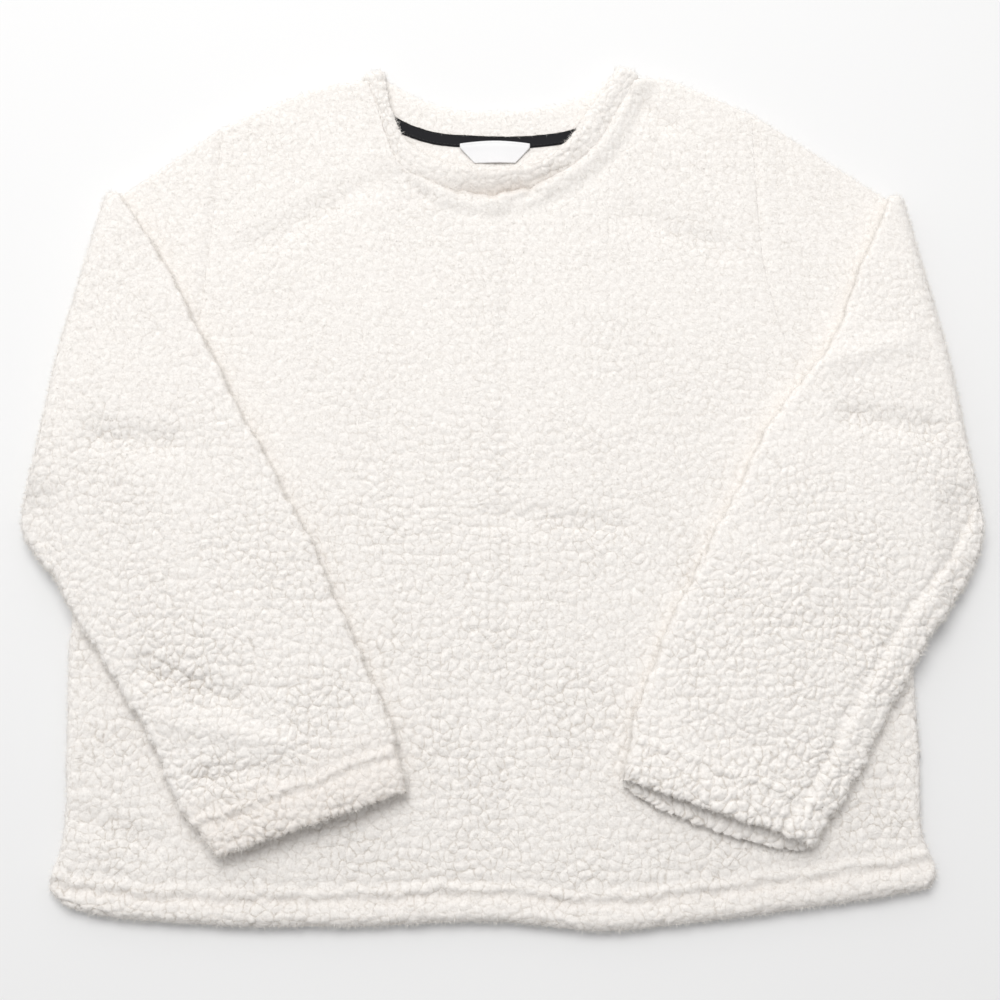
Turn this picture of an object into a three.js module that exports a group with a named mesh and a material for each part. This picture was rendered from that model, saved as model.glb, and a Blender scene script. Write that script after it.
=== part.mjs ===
// Sherpa fleece pullover, laid flat on its back with both sleeves folded over the front.
// Millimetres. X runs across the garment, Y from the hem to the neck, Z up from the table.
// Plan points below are measured from the middle of the lay, and the last step moves the
// whole group so that its origin is the middle of the box, on the table.

import * as THREE from 'three';

// Driving dimensions of the cloth
const PILE = 5; // backing and curly pile together, one layer
const GAP = 0.3; // clearance between pieces that touch or are sewn together
const LAYER = PILE + GAP;
const HEM_TURN = 23; // depth of the turned hem and cuffs, up to the stitching
const RIM = 4; // width of the rounded edge of a panel
const HAIR = 0.05; // keeps three points of an outline from lying in one line

// Neckband, tape and label
const BAND_THICK = 6.9; // doubled cloth
const BAND_FOLD_Z = 7.5; // height of the folds at the two shoulder tips
const BAND_FOLD_R = 0.4;
const TAPE_WIDE = 10;
const TAPE_THICK = 1;
const LABEL_WIDE = 55;
const LABEL_LONG = 16;
const LABEL_MITRE = 11;
const LABEL_THICK = 0.8;

// Sleeves
const SLEEVE_FOLD_R = 6.2; // radius of the sleeve's middle surface where it folds over
const SLEEVE_PUFF = 3; // how far the top layer stands up in the middle
const SETTLE = 60; // distance in which a folded sleeve comes down onto the front
const DROOP = 5; // how far its outer edge sinks beside the body, where nothing is below it
const BODY_HALF = 312; // how far the body reaches to either side

// Outline of the body, as points [x, y]. The sides run from the hem up to the armpit.
const LEFT_SIDE = [[-303, -290], [-313, -278], [-306, -243], [-309, -165], [-311, -115], [-305, 16]];
const RIGHT_SIDE = [[299, -279], [304, -268], [296, -240], [298, -187], [297, -140], [303, 12]];
const HEM = [[-303, -290], [-281, -296], [-200, -303], [-103, -304], [0, -301],
  [70, -307], [121, -303], [233, -289], [299, -279]];
const LEFT_ARMHOLE = [[-305, 16], [-262, 62], [-234, 120], [-225, 190], [-219, 299]];
const RIGHT_ARMHOLE = [[199, 311], [200, 240], [204, 178], [222, 110], [258, 52], [303, 12]];
const LEFT_SHOULDER = [[-219, 299], [-169, 324], [-133, 337], [-106, 340]];
const RIGHT_SHOULDER = [[108, 342], [130, 342], [157, 331], [199, 311]];

// Neck seams and free edges of the band, from the left shoulder to the right
const FRONT_SEAM = [[-106, 340], [-98, 318], [-90, 292], [-78, 266], [-42, 247], [-14, 242],
  [10, 244], [35, 253], [60, 269], [78, 287], [92, 312], [108, 342]];
const FRONT_EDGE = [[-91, 342], [-86, 316], [-74, 288], [-47, 270], [-10, 265],
  [23, 268], [50, 284], [67, 309], [91, 346]];
const BACK_SEAM = [[-106, 340], [-86, 313], [-55, 298], [-20, 294], [25, 294], [62, 301],
  [90, 318], [108, 342]];
const BACK_EDGE = [[-91, 342], [-64, 326], [-38, 317], [0, 315], [32, 318], [62, 327], [91, 346]];

// Stations of the folded sleeves: [inner x, inner y, outer x, outer y].
// The first row is the fold, and the last is the end of the cuff.
const LEFT_SLEEVE = [
  [-293, 242, -341, -9],
  [-280, 221, -350, -18],
  [-260, 188, -344, -38],
  [-226, 126, -318, -69],
  [-192, 62, -297, -103],
  [-158, 2, -275, -134],
  [-131, -49, -256, -162],
  [-105, -107, -237, -196],
  [-83, -152, -220, -229],
  [-64, -213, -194, -258],
];
const RIGHT_SLEEVE = [
  [299, 239, 344, -13],
  [291, 217, 353, -23],
  [277, 183, 348, -48],
  [247, 114, 327, -80],
  [208, 66, 308, -106],
  [166, -12, 287, -138],
  [138, -64, 268, -172],
  [112, -118, 249, -204],
  [98, -155, 236, -224],
  [85, -205, 216, -250],
];

// Largest folds: [x1, y1, x2, y2, half width, height], a trough where height is negative
const BODY_FOLDS = [
  [6, 215, 4, -255, 9, -1],
  [-10, -14, 88, -22, 11, -1.5],
  [-192, 197, -98, 252, 15, -1.8],
  [100, 226, 172, 196, 15, -1.8],
  [-298, -230, -240, -248, 12, -1.8],
];
const LEFT_SLEEVE_FOLDS = [
  [-295, 42, -245, 38, 15, -3],
  [-252, -128, -188, -150, 12, -3],
  [-236, -164, -150, -180, 11, 2],
  [-208, -204, -158, -198, 10, -2.5],
];
const RIGHT_SLEEVE_FOLDS = [
  [258, 58, 316, 48, 14, -3],
  [248, 102, 306, 118, 14, 2],
  [262, 150, 262, 148, 11, -2],
  [236, -90, 246, -98, 26, -2],
  [160, -176, 180, -182, 22, -1.5],
];

// Section through a turned hem: [distance from the edge, extra height]. The stitching
// pulls a groove at the depth of the turn, with a soft ridge above it.
const HEM_SECTION = [[0, -2], [6, 2], [15, 2.6], [HEM_TURN, -1.2], [31, 1.4], [42, 0]];

const CREAM = 0xece6dc;
const BLACK = 0x29282b;
const WHITE = 0xf4f2f0;

// Curves in the plan

const spline = (points) =>
  new THREE.CatmullRomCurve3(points.map(([x, y]) => new THREE.Vector3(x, y, 0)), false, 'centripetal');

const samples = (points, count) => spline(points).getSpacedPoints(count).map((p) => [p.x, p.y]);

const mix = (p, q, t) => p.map((value, i) => value + (q[i] - value) * t);

const span = (p, q) => Math.hypot(q[0] - p[0], q[1] - p[1]);

// Point at a fraction of the length of a polyline, so that neighbours share its chords.
function onPolyline(points, fraction) {
  const lengths = points.slice(1).map((p, i) => span(points[i], p));
  let left = fraction * lengths.reduce((sum, value) => sum + value, 0);
  for (let i = 0; i < lengths.length; i += 1) {
    if (left <= lengths[i] || i === lengths.length - 1) {
      return mix(points[i], points[i + 1], left / lengths[i]);
    }
    left -= lengths[i];
  }
  return points[points.length - 1];
}

// Height of the large folds at a point of the plan.
function foldHeight(folds, x, y) {
  return folds.reduce((sum, [x1, y1, x2, y2, wide, height]) => {
    const along = [x2 - x1, y2 - y1];
    const reach = ((x - x1) * along[0] + (y - y1) * along[1]) / (along[0] ** 2 + along[1] ** 2);
    const [nx, ny] = mix([x1, y1], [x2, y2], THREE.MathUtils.clamp(reach, 0, 1));
    return sum + height * Math.exp(-(((x - nx) ** 2 + (y - ny) ** 2) / wide ** 2));
  }, 0);
}

// How far a folded sleeve sinks beyond the side of the body, below the armpit.
function droop(fromMiddle, y) {
  const beside = THREE.MathUtils.smoothstep(fromMiddle, BODY_HALF + 5, BODY_HALF + 30);
  return DROOP * beside * THREE.MathUtils.smoothstep(-y, 15, 45);
}

function hemHeight(distance) {
  for (let i = 1; i < HEM_SECTION.length; i += 1) {
    const [d0, h0] = HEM_SECTION[i - 1];
    const [d1, h1] = HEM_SECTION[i];
    if (distance <= d1) return h0 + ((h1 - h0) * (distance - d0)) / (d1 - d0);
  }
  return 0;
}

// Meshes

class Shell {
  constructor() {
    this.positions = [];
    this.faces = [];
  }

  point(x, y, z) {
    this.positions.push(x, y, z);
    return this.positions.length / 3 - 1;
  }

  quad(a, b, c, d) {
    this.faces.push(a, b, c, a, c, d);
  }

  // Joins two closed loops of the same length.
  sleeve(from, to) {
    from.forEach((a, i) => {
      const next = (i + 1) % from.length;
      this.quad(a, from[next], to[next], to[i]);
    });
  }

  // Closes a flat loop. The plan gives the loop anticlockwise, seen from above.
  cap(loop, plan, facesUp) {
    const contour = plan.map(([x, y]) => new THREE.Vector2(x, y));
    THREE.ShapeUtils.triangulateShape(contour, []).forEach(([a, b, c]) => {
      this.faces.push(loop[a], ...(facesUp ? [loop[b], loop[c]] : [loop[c], loop[b]]));
    });
  }

  mesh(name, color, roughness) {
    const geometry = new THREE.BufferGeometry();
    geometry.setAttribute('position', new THREE.Float32BufferAttribute(this.positions, 3));
    geometry.setIndex(this.faces);
    geometry.computeVertexNormals();
    const material = new THREE.MeshStandardMaterial({ color, roughness, metalness: 0 });
    const mesh = new THREE.Mesh(geometry, material);
    mesh.name = name;
    return mesh;
  }
}

// Shared seam points: the panels, sleeves and band all use these, so seams stay even.
const SEAMS = {
  leftArmhole: samples(LEFT_ARMHOLE, 8),
  rightArmhole: samples(RIGHT_ARMHOLE, 8),
  leftShoulder: samples(LEFT_SHOULDER, 4),
  rightShoulder: samples(RIGHT_SHOULDER, 4),
  frontNeck: samples(FRONT_SEAM, 16),
  backNeck: samples(BACK_SEAM, 14),
};

// Upper outline of a panel from the left armpit to the right one.
function upperOutline(neck) {
  const parts = [SEAMS.leftArmhole, SEAMS.leftShoulder, neck, SEAMS.rightShoulder, SEAMS.rightArmhole];
  const line = parts.flatMap((part, i) => (i === 0 ? part : part.slice(1)));
  const last = line.length - 1;
  const nearEnd = (end, next) => {
    const [x, y] = mix(end, next, RIM / span(end, next));
    return [x, y - HAIR];
  };
  return [line[0], nearEnd(line[0], line[1]), ...line.slice(1, last),
    nearEnd(line[last], line[last - 1]), line[last]];
}

// Columns of plan points from the hem to the upper outline, as a patch between four curves.
function panelColumns(neck, evenRows) {
  const top = upperOutline(neck);
  const [hem, left, right] = [HEM, LEFT_SIDE, RIGHT_SIDE].map(spline);
  const at = (curve, t) => {
    const p = curve.getPointAt(THREE.MathUtils.clamp(t, 0, 1));
    return [p.x, p.y];
  };
  const first = top[0];
  const last = top[top.length - 1];
  const corners = [at(hem, 0), at(hem, 1)];
  const rim = RIM / hem.getLength();
  const hemRows = HEM_SECTION.map(([distance]) => distance);
  const hemDepth = hemRows[hemRows.length - 1];
  return top.map((tip, k) => {
    const byX = (tip[0] - first[0]) / (last[0] - first[0]);
    const even = (k - 1) / (top.length - 3);
    let u = THREE.MathUtils.clamp((byX + even) / 2, rim, 1 - rim);
    if (k === 0) u = 0;
    if (k === top.length - 1) u = 1;
    const foot = at(hem, u);
    const height = span(foot, tip);
    const rows = hemRows.map((distance) => distance / height);
    for (let r = 1; r <= evenRows; r += 1) {
      rows.push((hemDepth + ((height - RIM - hemDepth) * r) / evenRows) / height);
    }
    rows.push(1);
    return rows.map((v) => {
      const ruled = mix(foot, tip, v);
      const sides = mix(at(left, v), at(right, v), u);
      const bilinear = mix(mix(corners[0], first, v), mix(corners[1], last, v), u);
      const [x, y] = [0, 1].map((i) => ruled[i] + sides[i] - bilinear[i]);
      return { x, y, fromHem: v * height };
    });
  });
}

// Boundary of a grid of columns, anticlockwise seen from above.
function boundary(columns) {
  const lastColumn = columns.length - 1;
  const lastRow = columns[0].length - 1;
  return [
    ...columns.map((column) => column[0]),
    ...columns[lastColumn].slice(1, lastRow),
    ...columns.map((column) => column[lastRow]).reverse(),
    ...columns[0].slice(1, lastRow).reverse(),
  ];
}

// Front: a patch with its hem, neck rise and largest folds on top, and a flat underside.
function buildFront() {
  const shell = new Shell();
  const columns = panelColumns(SEAMS.frontNeck, 14);
  const lastColumn = columns.length - 1;
  const lastRow = columns[0].length - 1;
  const neckRise = (x, y) => {
    const nearest = Math.min(...SEAMS.frontNeck.map((p) => span(p, [x, y])));
    return 1.8 * Math.exp(-((nearest / 22) ** 2));
  };
  columns.forEach((column, k) => column.forEach((spot, r) => {
    const onEdge = k === 0 || k === lastColumn || r === lastRow;
    const { x, y, fromHem } = spot;
    const full = PILE + hemHeight(fromHem) + foldHeight(BODY_FOLDS, x, y) + neckRise(x, y);
    spot.top = shell.point(x, y, LAYER + (onEdge ? 0.55 : 1) * full);
  }));
  for (let k = 0; k < lastColumn; k += 1) {
    for (let r = 0; r < lastRow; r += 1) {
      shell.quad(columns[k][r].top, columns[k + 1][r].top, columns[k + 1][r + 1].top, columns[k][r + 1].top);
    }
  }
  const loop = boundary(columns);
  const plan = loop.map(({ x, y }) => [x, y]);
  const under = plan.map(([x, y]) => shell.point(x, y, LAYER));
  shell.sleeve(under, loop.map(({ top }) => top));
  shell.cap(under, plan, false);
  return shell.mesh('front', CREAM, 0.95);
}

// Back: flat on the table, with its lower edge rounded.
function buildBack() {
  const shell = new Shell();
  const plan = boundary(panelColumns(SEAMS.backNeck, 5)).map(({ x, y }) => [x, y]);
  const foot = plan.map((p, i) => {
    const before = plan[(i + plan.length - 1) % plan.length];
    const after = plan[(i + 1) % plan.length];
    const along = span(before, after);
    return [p[0] - (2 * (after[1] - before[1])) / along, p[1] + (2 * (after[0] - before[0])) / along];
  });
  const loops = [
    foot.map(([x, y]) => shell.point(x, y, 0)),
    plan.map(([x, y]) => shell.point(x, y, PILE / 2)),
    plan.map(([x, y]) => shell.point(x, y, PILE)),
  ];
  shell.cap(loops[0], foot, false);
  shell.sleeve(loops[0], loops[1]);
  shell.sleeve(loops[1], loops[2]);
  shell.cap(loops[2], plan, true);
  return shell.mesh('back', CREAM, 0.95);
}

// Loop round a flattened tube: [side, place]. Side is 1 above the middle surface, -1 below
// and 0 on it. Place is a fraction across, shared with the points of the armhole seam.
const ACROSS = [0, 0.125, 0.25, 0.375, 0.5, 0.625, 0.75, 0.875, 1];
const TUBE_LOOP = [
  { end: 0, side: 0 },
  ...ACROSS.map((place) => ({ place, side: 1 })),
  { end: 1, side: 0 },
  ...ACROSS.toReversed().map((place) => ({ place, side: -1 })),
];

// Sleeve: a hollow flattened tube that leaves the armhole, turns over at the fold and lies
// back over the front. Each ring crosses the tube from its upper edge to its underarm edge.
function buildSleeve(name, stations, armhole, folds) {
  const shell = new Shell();
  const half = LAYER;
  const outward = Math.sign(stations[0][0]);
  const inner = spline(stations.map(([x, y]) => [x, y]));
  const outer = spline(stations.map(([, , x, y]) => [x, y]));
  const [innerLength, outerLength] = [inner.getLength(), outer.getLength()];
  const foldLine = [stations[0].slice(0, 2), stations[0].slice(2, 4)];
  const foldLong = span(...foldLine);
  const axis = [0, 1].map((i) => (foldLine[1][i] - foldLine[0][i]) / foldLong);
  const away = outward > 0 ? [-axis[1], axis[0]] : [axis[1], -axis[0]];
  const foldZ = half + SLEEVE_FOLD_R;
  const restZ = 2 * LAYER + GAP + half;
  const rings = [];

  // From the armhole to the fold, lying on the table. The seam clearance is at the armhole.
  [0, 0.34, 0.67].forEach((t) => rings.push({
    plan: (a) => {
      const seam = onPolyline(armhole, a);
      return mix([seam[0] + GAP * outward, seam[1]], mix(...foldLine, a), t);
    },
    long: span(mix(armhole[0], foldLine[0], t), mix(armhole[armhole.length - 1], foldLine[1], t)),
    turn: 0,
    middle: () => half,
    raise: () => 0,
  }));

  // Round the fold.
  for (let step = 0; step <= 6; step += 1) {
    const turn = (Math.PI * step) / 6;
    rings.push({
      plan: (a) => {
        const [x, y] = mix(...foldLine, a);
        const out = SLEEVE_FOLD_R * Math.sin(turn);
        return [x + away[0] * out, y + away[1] * out];
      },
      long: foldLong,
      turn,
      middle: () => foldZ - SLEEVE_FOLD_R * Math.cos(turn),
      raise: () => 0,
    });
  }

  // Back over the front, to the cuff.
  const cuffRows = HEM_SECTION.map(([distance]) => distance).reverse();
  const cuffDepth = cuffRows[0];
  const steps = 15;
  const places = [{ free: 1 - 0.4 / steps, band: cuffDepth }];
  for (let step = 1; step < steps; step += 1) places.push({ free: 1 - step / steps, band: cuffDepth });
  cuffRows.forEach((band) => places.push({ free: 0, band }));
  places.forEach(({ free, band }) => {
    const fromEnd = (length) => band + free * (length - cuffDepth);
    const a0 = inner.getPointAt(1 - fromEnd(innerLength) / innerLength);
    const a1 = outer.getPointAt(1 - fromEnd(outerLength) / outerLength);
    const gone = innerLength - fromEnd(innerLength);
    const settle = THREE.MathUtils.smoothstep(gone, 0, SETTLE);
    const base = THREE.MathUtils.lerp(foldZ + SLEEVE_FOLD_R, restZ, settle);
    rings.push({
      plan: (a) => mix([a0.x, a0.y], [a1.x, a1.y], a),
      long: span([a0.x, a0.y], [a1.x, a1.y]),
      turn: Math.PI,
      middle: (x, y) => base - droop(outward * x, y),
      raise: (a, x, y) => settle * (SLEEVE_PUFF * Math.sin(Math.PI * a) + foldHeight(folds, x, y))
        + (free === 0 ? hemHeight(band) : 0),
    });
  });

  const loopPoints = (ring, thick, inset, lift) => TUBE_LOOP.map(({ end, side, place }) => {
    const round = (inset + thick) / ring.long;
    const sharp = inset / ring.long;
    const a = end === undefined
      ? THREE.MathUtils.clamp(place, round, 1 - round)
      : sharp + end * (1 - 2 * sharp);
    const [x, y] = ring.plan(a);
    const above = ring.turn === Math.PI && side < 0 ? lift(ring.raise(a, x, y)) : 0;
    const out = side * thick * Math.sin(ring.turn);
    const up = side * thick * Math.cos(ring.turn);
    return shell.point(x - away[0] * out, y - away[1] * out, ring.middle(x, y) + up + above);
  });
  const skin = rings.map((ring) => loopPoints(ring, half, 0, (height) => height));
  const lining = rings.map((ring) => loopPoints(ring, GAP, PILE, (height) => 0.4 * Math.max(height, 0)));
  const join = (from, to, facesOut) => {
    if ((outward > 0) === facesOut) shell.sleeve(from, to);
    else shell.sleeve([...from].reverse(), [...to].reverse());
  };
  for (let i = 1; i < rings.length; i += 1) {
    join(skin[i - 1], skin[i], true);
    join(lining[i - 1], lining[i], false);
  }
  join(lining[0], skin[0], true);
  join(skin[rings.length - 1], lining[rings.length - 1], true);
  return shell.mesh(name, CREAM, 0.95);
}

// Section through the neckband: [place from the seam to the free edge, height]. Height is
// 0 on the face against the neck and 1 on the outside.
const BAND_SECTION = [[0, 0.08], [0, 0.8], [0.2, 1], [0.7, 1], [0.93, 0.84], [1, 0.5], [0.93, 0.16],
  [0.7, 0], [0.2, 0]];

// Neckband: one ring of doubled cloth. Its front half lies face up, its back half face
// down, and it folds over at both shoulder tips.
function buildNeckband() {
  const shell = new Shell();
  const front = SEAMS.frontNeck;
  const back = SEAMS.backNeck;
  const frontEdge = samples(FRONT_EDGE, front.length - 1);
  const backEdge = samples(BACK_EDGE, back.length - 1);
  const half = (seams, edges, turn) =>
    seams.map((seam, i) => ({ seam, edge: edges[i], turn, away: [0, 0] }));
  const fold = (seam, edge, side) => {
    const long = span(seam, edge);
    const away = [((seam[1] - edge[1]) / long) * side, ((edge[0] - seam[0]) / long) * side];
    return [1, 2, 3, 4, 5].map((step) => ({ seam, edge, turn: (Math.PI * step) / 6, away }));
  };
  const sections = [
    ...half(front, frontEdge, 0),
    ...fold(front.at(-1), frontEdge.at(-1), -1),
    ...half(back, backEdge, Math.PI).reverse(),
    ...fold(front[0], frontEdge[0], 1).reverse(),
  ];
  const loops = sections.map(({ seam, edge, turn, away }) => BAND_SECTION.map(([place, height]) => {
    const start = GAP / span(seam, edge);
    const [x, y] = mix(seam, edge, start + place * (1 - start));
    const reach = BAND_FOLD_R + height * BAND_THICK;
    const out = reach * Math.sin(turn);
    return shell.point(x + away[0] * out, y + away[1] * out, BAND_FOLD_Z + reach * Math.cos(turn));
  }));
  loops.forEach((loop, i) => shell.sleeve(loops[(i + 1) % loops.length], loop));
  return shell.mesh('neckband', CREAM, 0.95);
}

// Tape along the inside of the back neck seam.
function buildTape() {
  const shell = new Shell();
  const line = SEAMS.backNeck.slice(2, -3);
  const low = LAYER;
  const loops = line.map((p, i) => {
    const before = line[Math.max(i - 1, 0)];
    const after = line[Math.min(i + 1, line.length - 1)];
    const long = span(before, after);
    const down = [(after[1] - before[1]) / long, -(after[0] - before[0]) / long];
    const at = (width) => [p[0] + down[0] * width, p[1] + down[1] * width];
    const [top, bottom] = [at(2 * GAP), at(2 * GAP + TAPE_WIDE)];
    return [
      shell.point(...bottom, low),
      shell.point(...bottom, low + TAPE_THICK),
      shell.point(...top, low + TAPE_THICK),
      shell.point(...top, low),
    ];
  });
  for (let i = 1; i < loops.length; i += 1) shell.sleeve(loops[i], loops[i - 1]);
  shell.quad(...loops[0]);
  shell.quad(...loops.at(-1).toReversed());
  return shell.mesh('neck_tape', BLACK, 0.8);
}

// Label: a blank woven strip with mitred lower corners, caught at the tape's lower edge.
function buildLabel() {
  const shell = new Shell();
  const middle = -4;
  const top = 286;
  const tapeTop = LAYER + TAPE_THICK + GAP;
  const rows = [
    { down: 0, half: LABEL_WIDE / 2, z: tapeTop },
    { down: 3.5, half: LABEL_WIDE / 2, z: tapeTop },
    { down: 7, half: LABEL_WIDE / 2 - 2, z: tapeTop - 0.6 },
    { down: LABEL_LONG, half: LABEL_WIDE / 2 - LABEL_MITRE, z: LAYER },
  ];
  const loops = rows.map(({ down, half, z }) => [
    shell.point(middle - half, top - down, z),
    shell.point(middle + half, top - down, z),
    shell.point(middle + half, top - down, z + LABEL_THICK),
    shell.point(middle - half, top - down, z + LABEL_THICK),
  ]);
  for (let i = 1; i < loops.length; i += 1) shell.sleeve(loops[i - 1], loops[i]);
  shell.quad(...loops[0].toReversed());
  shell.quad(...loops.at(-1));
  return shell.mesh('label', WHITE, 0.7);
}

const pullover = new THREE.Group();
pullover.name = 'sherpa_pullover';
pullover.add(
  buildBack(),
  buildFront(),
  buildSleeve('sleeve_left', LEFT_SLEEVE, SEAMS.leftArmhole.toReversed(), LEFT_SLEEVE_FOLDS),
  buildSleeve('sleeve_right', RIGHT_SLEEVE, SEAMS.rightArmhole, RIGHT_SLEEVE_FOLDS),
  buildNeckband(),
  buildTape(),
  buildLabel(),
);

// The origin is the middle of the whole box, on the table.
const box = new THREE.Box3().setFromObject(pullover);
const middle = box.getCenter(new THREE.Vector3());
pullover.children.forEach((mesh) => mesh.geometry.translate(-middle.x, -middle.y, -box.min.z));

export default pullover;
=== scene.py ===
# %% [markdown]
# # A sherpa fleece pullover, laid flat
# The pullover is a crew neck in cream sherpa, a knit with a thick curly pile. It lies face up on
# a table, with both sleeves folded over the front. The imported solids give the frame: they are
# loaded first.

# %% The imported frame
import math

import bpy
import numpy as np
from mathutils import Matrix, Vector
from mathutils.kdtree import KDTree


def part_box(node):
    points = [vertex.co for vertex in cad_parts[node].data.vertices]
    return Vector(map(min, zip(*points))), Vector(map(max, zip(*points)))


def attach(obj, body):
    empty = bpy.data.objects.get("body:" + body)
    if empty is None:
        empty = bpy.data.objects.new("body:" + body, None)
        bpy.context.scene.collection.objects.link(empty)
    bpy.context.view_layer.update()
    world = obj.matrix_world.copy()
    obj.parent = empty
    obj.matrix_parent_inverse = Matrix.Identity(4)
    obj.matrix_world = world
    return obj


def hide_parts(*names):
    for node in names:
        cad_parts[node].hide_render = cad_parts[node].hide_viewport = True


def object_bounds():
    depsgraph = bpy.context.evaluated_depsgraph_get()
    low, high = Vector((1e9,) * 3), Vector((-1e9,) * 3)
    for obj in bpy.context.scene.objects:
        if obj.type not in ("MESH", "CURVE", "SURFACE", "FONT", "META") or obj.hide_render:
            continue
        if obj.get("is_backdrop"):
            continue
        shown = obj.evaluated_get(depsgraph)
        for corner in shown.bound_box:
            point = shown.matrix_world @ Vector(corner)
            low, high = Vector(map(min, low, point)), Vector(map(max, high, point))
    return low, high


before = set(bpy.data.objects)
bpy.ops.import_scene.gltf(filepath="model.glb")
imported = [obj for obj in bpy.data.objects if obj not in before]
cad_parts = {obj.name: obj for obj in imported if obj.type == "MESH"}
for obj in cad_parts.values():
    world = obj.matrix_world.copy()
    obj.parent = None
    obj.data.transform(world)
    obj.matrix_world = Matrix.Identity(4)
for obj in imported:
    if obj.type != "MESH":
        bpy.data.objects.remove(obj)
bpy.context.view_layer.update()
scene = bpy.context.scene
MM = 0.001
print("solids:", ", ".join(sorted(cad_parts)))

# %% [markdown]
# ## The cut, in plan
# Cloth on a table is easiest to think of as a plan: each edge and seam is a short list of points,
# in millimetres, with a smooth curve through them. These are the same points as the solids use.
# The plan's origin is the middle of the picture, and the label, whose place in the plan is known,
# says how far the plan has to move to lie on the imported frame.

# %% Edges and seams of the body
LEFT_SIDE = [(-303, -290), (-313, -278), (-306, -243), (-309, -165), (-311, -115), (-305, 16)]
RIGHT_SIDE = [(299, -279), (304, -268), (296, -240), (298, -187), (297, -140), (303, 12)]
HEM = [(-303, -290), (-281, -296), (-200, -303), (-103, -304), (0, -301), (70, -307), (121, -303),
       (233, -289), (299, -279)]
LEFT_ARMHOLE = [(-305, 16), (-262, 62), (-234, 120), (-225, 190), (-219, 299)]
RIGHT_ARMHOLE = [(199, 311), (200, 240), (204, 178), (222, 110), (258, 52), (303, 12)]
LEFT_SHOULDER = [(-219, 299), (-169, 324), (-133, 337), (-106, 340)]
RIGHT_SHOULDER = [(108, 342), (130, 342), (157, 331), (199, 311)]
FRONT_SEAM = [(-106, 340), (-98, 318), (-90, 292), (-78, 266), (-42, 247), (-14, 242), (10, 244),
              (35, 253), (60, 269), (78, 287), (92, 312), (108, 342)]
FRONT_EDGE = [(-91, 342), (-86, 316), (-74, 288), (-47, 270), (-10, 265), (23, 268), (50, 284),
              (67, 309), (91, 346)]
BACK_SEAM = [(-106, 340), (-86, 313), (-55, 298), (-20, 294), (25, 294), (62, 301), (90, 318),
             (108, 342)]
BACK_EDGE = [(-91, 342), (-64, 326), (-38, 317), (0, 315), (32, 318), (62, 327), (91, 346)]

# %% Edges of the sleeves, from the fold to the cuff
# Columns: x and y of the upper edge of the sleeve, then x and y of its underarm edge.
LEFT_SLEEVE = [
    (-293, 242, -349, -13), (-280, 221, -350, -20), (-260, 188, -344, -38), (-226, 126, -318, -69),
    (-192, 62, -297, -103), (-158, 2, -275, -134), (-131, -49, -256, -162), (-105, -107, -237, -196),
    (-83, -152, -220, -229), (-64, -213, -194, -258)]
RIGHT_SLEEVE = [
    (299, 239, 352, -17), (291, 217, 353, -25), (277, 183, 348, -48), (247, 114, 327, -80),
    (208, 66, 308, -106), (166, -12, 287, -138), (138, -64, 268, -172), (112, -118, 249, -204),
    (98, -155, 236, -224), (85, -205, 216, -250)]

# %% Thicknesses, and where the plan lies
PILE = 5.0           # one layer of the cloth with its pile
LAYER = 5.3          # a layer and the air under it
SLEEVE_FOLD = 6.2    # radius of the turn where a sleeve folds over
LABEL_LEFT, LABEL_TOP = -31.5, 286
label_low, label_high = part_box("label")
LAY = np.array([label_low[0] / MM - LABEL_LEFT, label_high[1] / MM - LABEL_TOP, 0.0])
print("the plan moves by", LAY.round(2), "mm")

# %% [markdown]
# ## Camera, table and light
# The picture is taken from almost straight above, with a normal lens. The table is a plain pale
# sheet. The light is a bright room with one wide soft lamp for a window, high at the upper left,
# so that the curls are modelled by soft shade and the hem leaves a narrow shadow.

# %% Camera
VIEW_HEIGHT = math.radians(77)
VIEW_DISTANCE = 1.035
aim = Vector(LAY * MM)
camera = bpy.data.objects.new("camera", bpy.data.cameras.new("camera"))
camera.data.lens = 50
camera.data.sensor_width = 36
camera.location = aim + VIEW_DISTANCE * Vector((0, -math.cos(VIEW_HEIGHT), math.sin(VIEW_HEIGHT)))
camera.rotation_euler = (math.pi / 2 - VIEW_HEIGHT, 0, 0)
scene.collection.objects.link(camera)
scene.camera = camera
print("camera", [round(v, 3) for v in camera.location], "m")

# %% Room
# The room is brighter towards the window, at the upper left, than towards the viewer.
ROOM_LIGHT = 0.60
TOWARDS_WINDOW = (-0.22, 0.5, 0.0)
scene.view_settings.view_transform = "Standard"
world = bpy.data.worlds.new("bright room")
world.use_nodes = True
room = world.node_tree
towards = room.nodes.new("ShaderNodeTexCoord").outputs["Generated"]
tilt = room.nodes.new("ShaderNodeVectorMath")
tilt.operation = "DOT_PRODUCT"
tilt.inputs[1].default_value = TOWARDS_WINDOW
room.links.new(towards, tilt.inputs[0])
level = room.nodes.new("ShaderNodeMath")
level.operation = "MULTIPLY_ADD"
level.inputs[1].default_value = ROOM_LIGHT
level.inputs[2].default_value = ROOM_LIGHT
room.links.new(tilt.outputs["Value"], level.inputs[0])
room.links.new(level.outputs[0], room.nodes["Background"].inputs["Strength"])
room.nodes["Background"].inputs["Color"].default_value = (1.0, 1.0, 1.0, 1)
scene.world = world
print("room:", len(room.nodes), "nodes")

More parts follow.
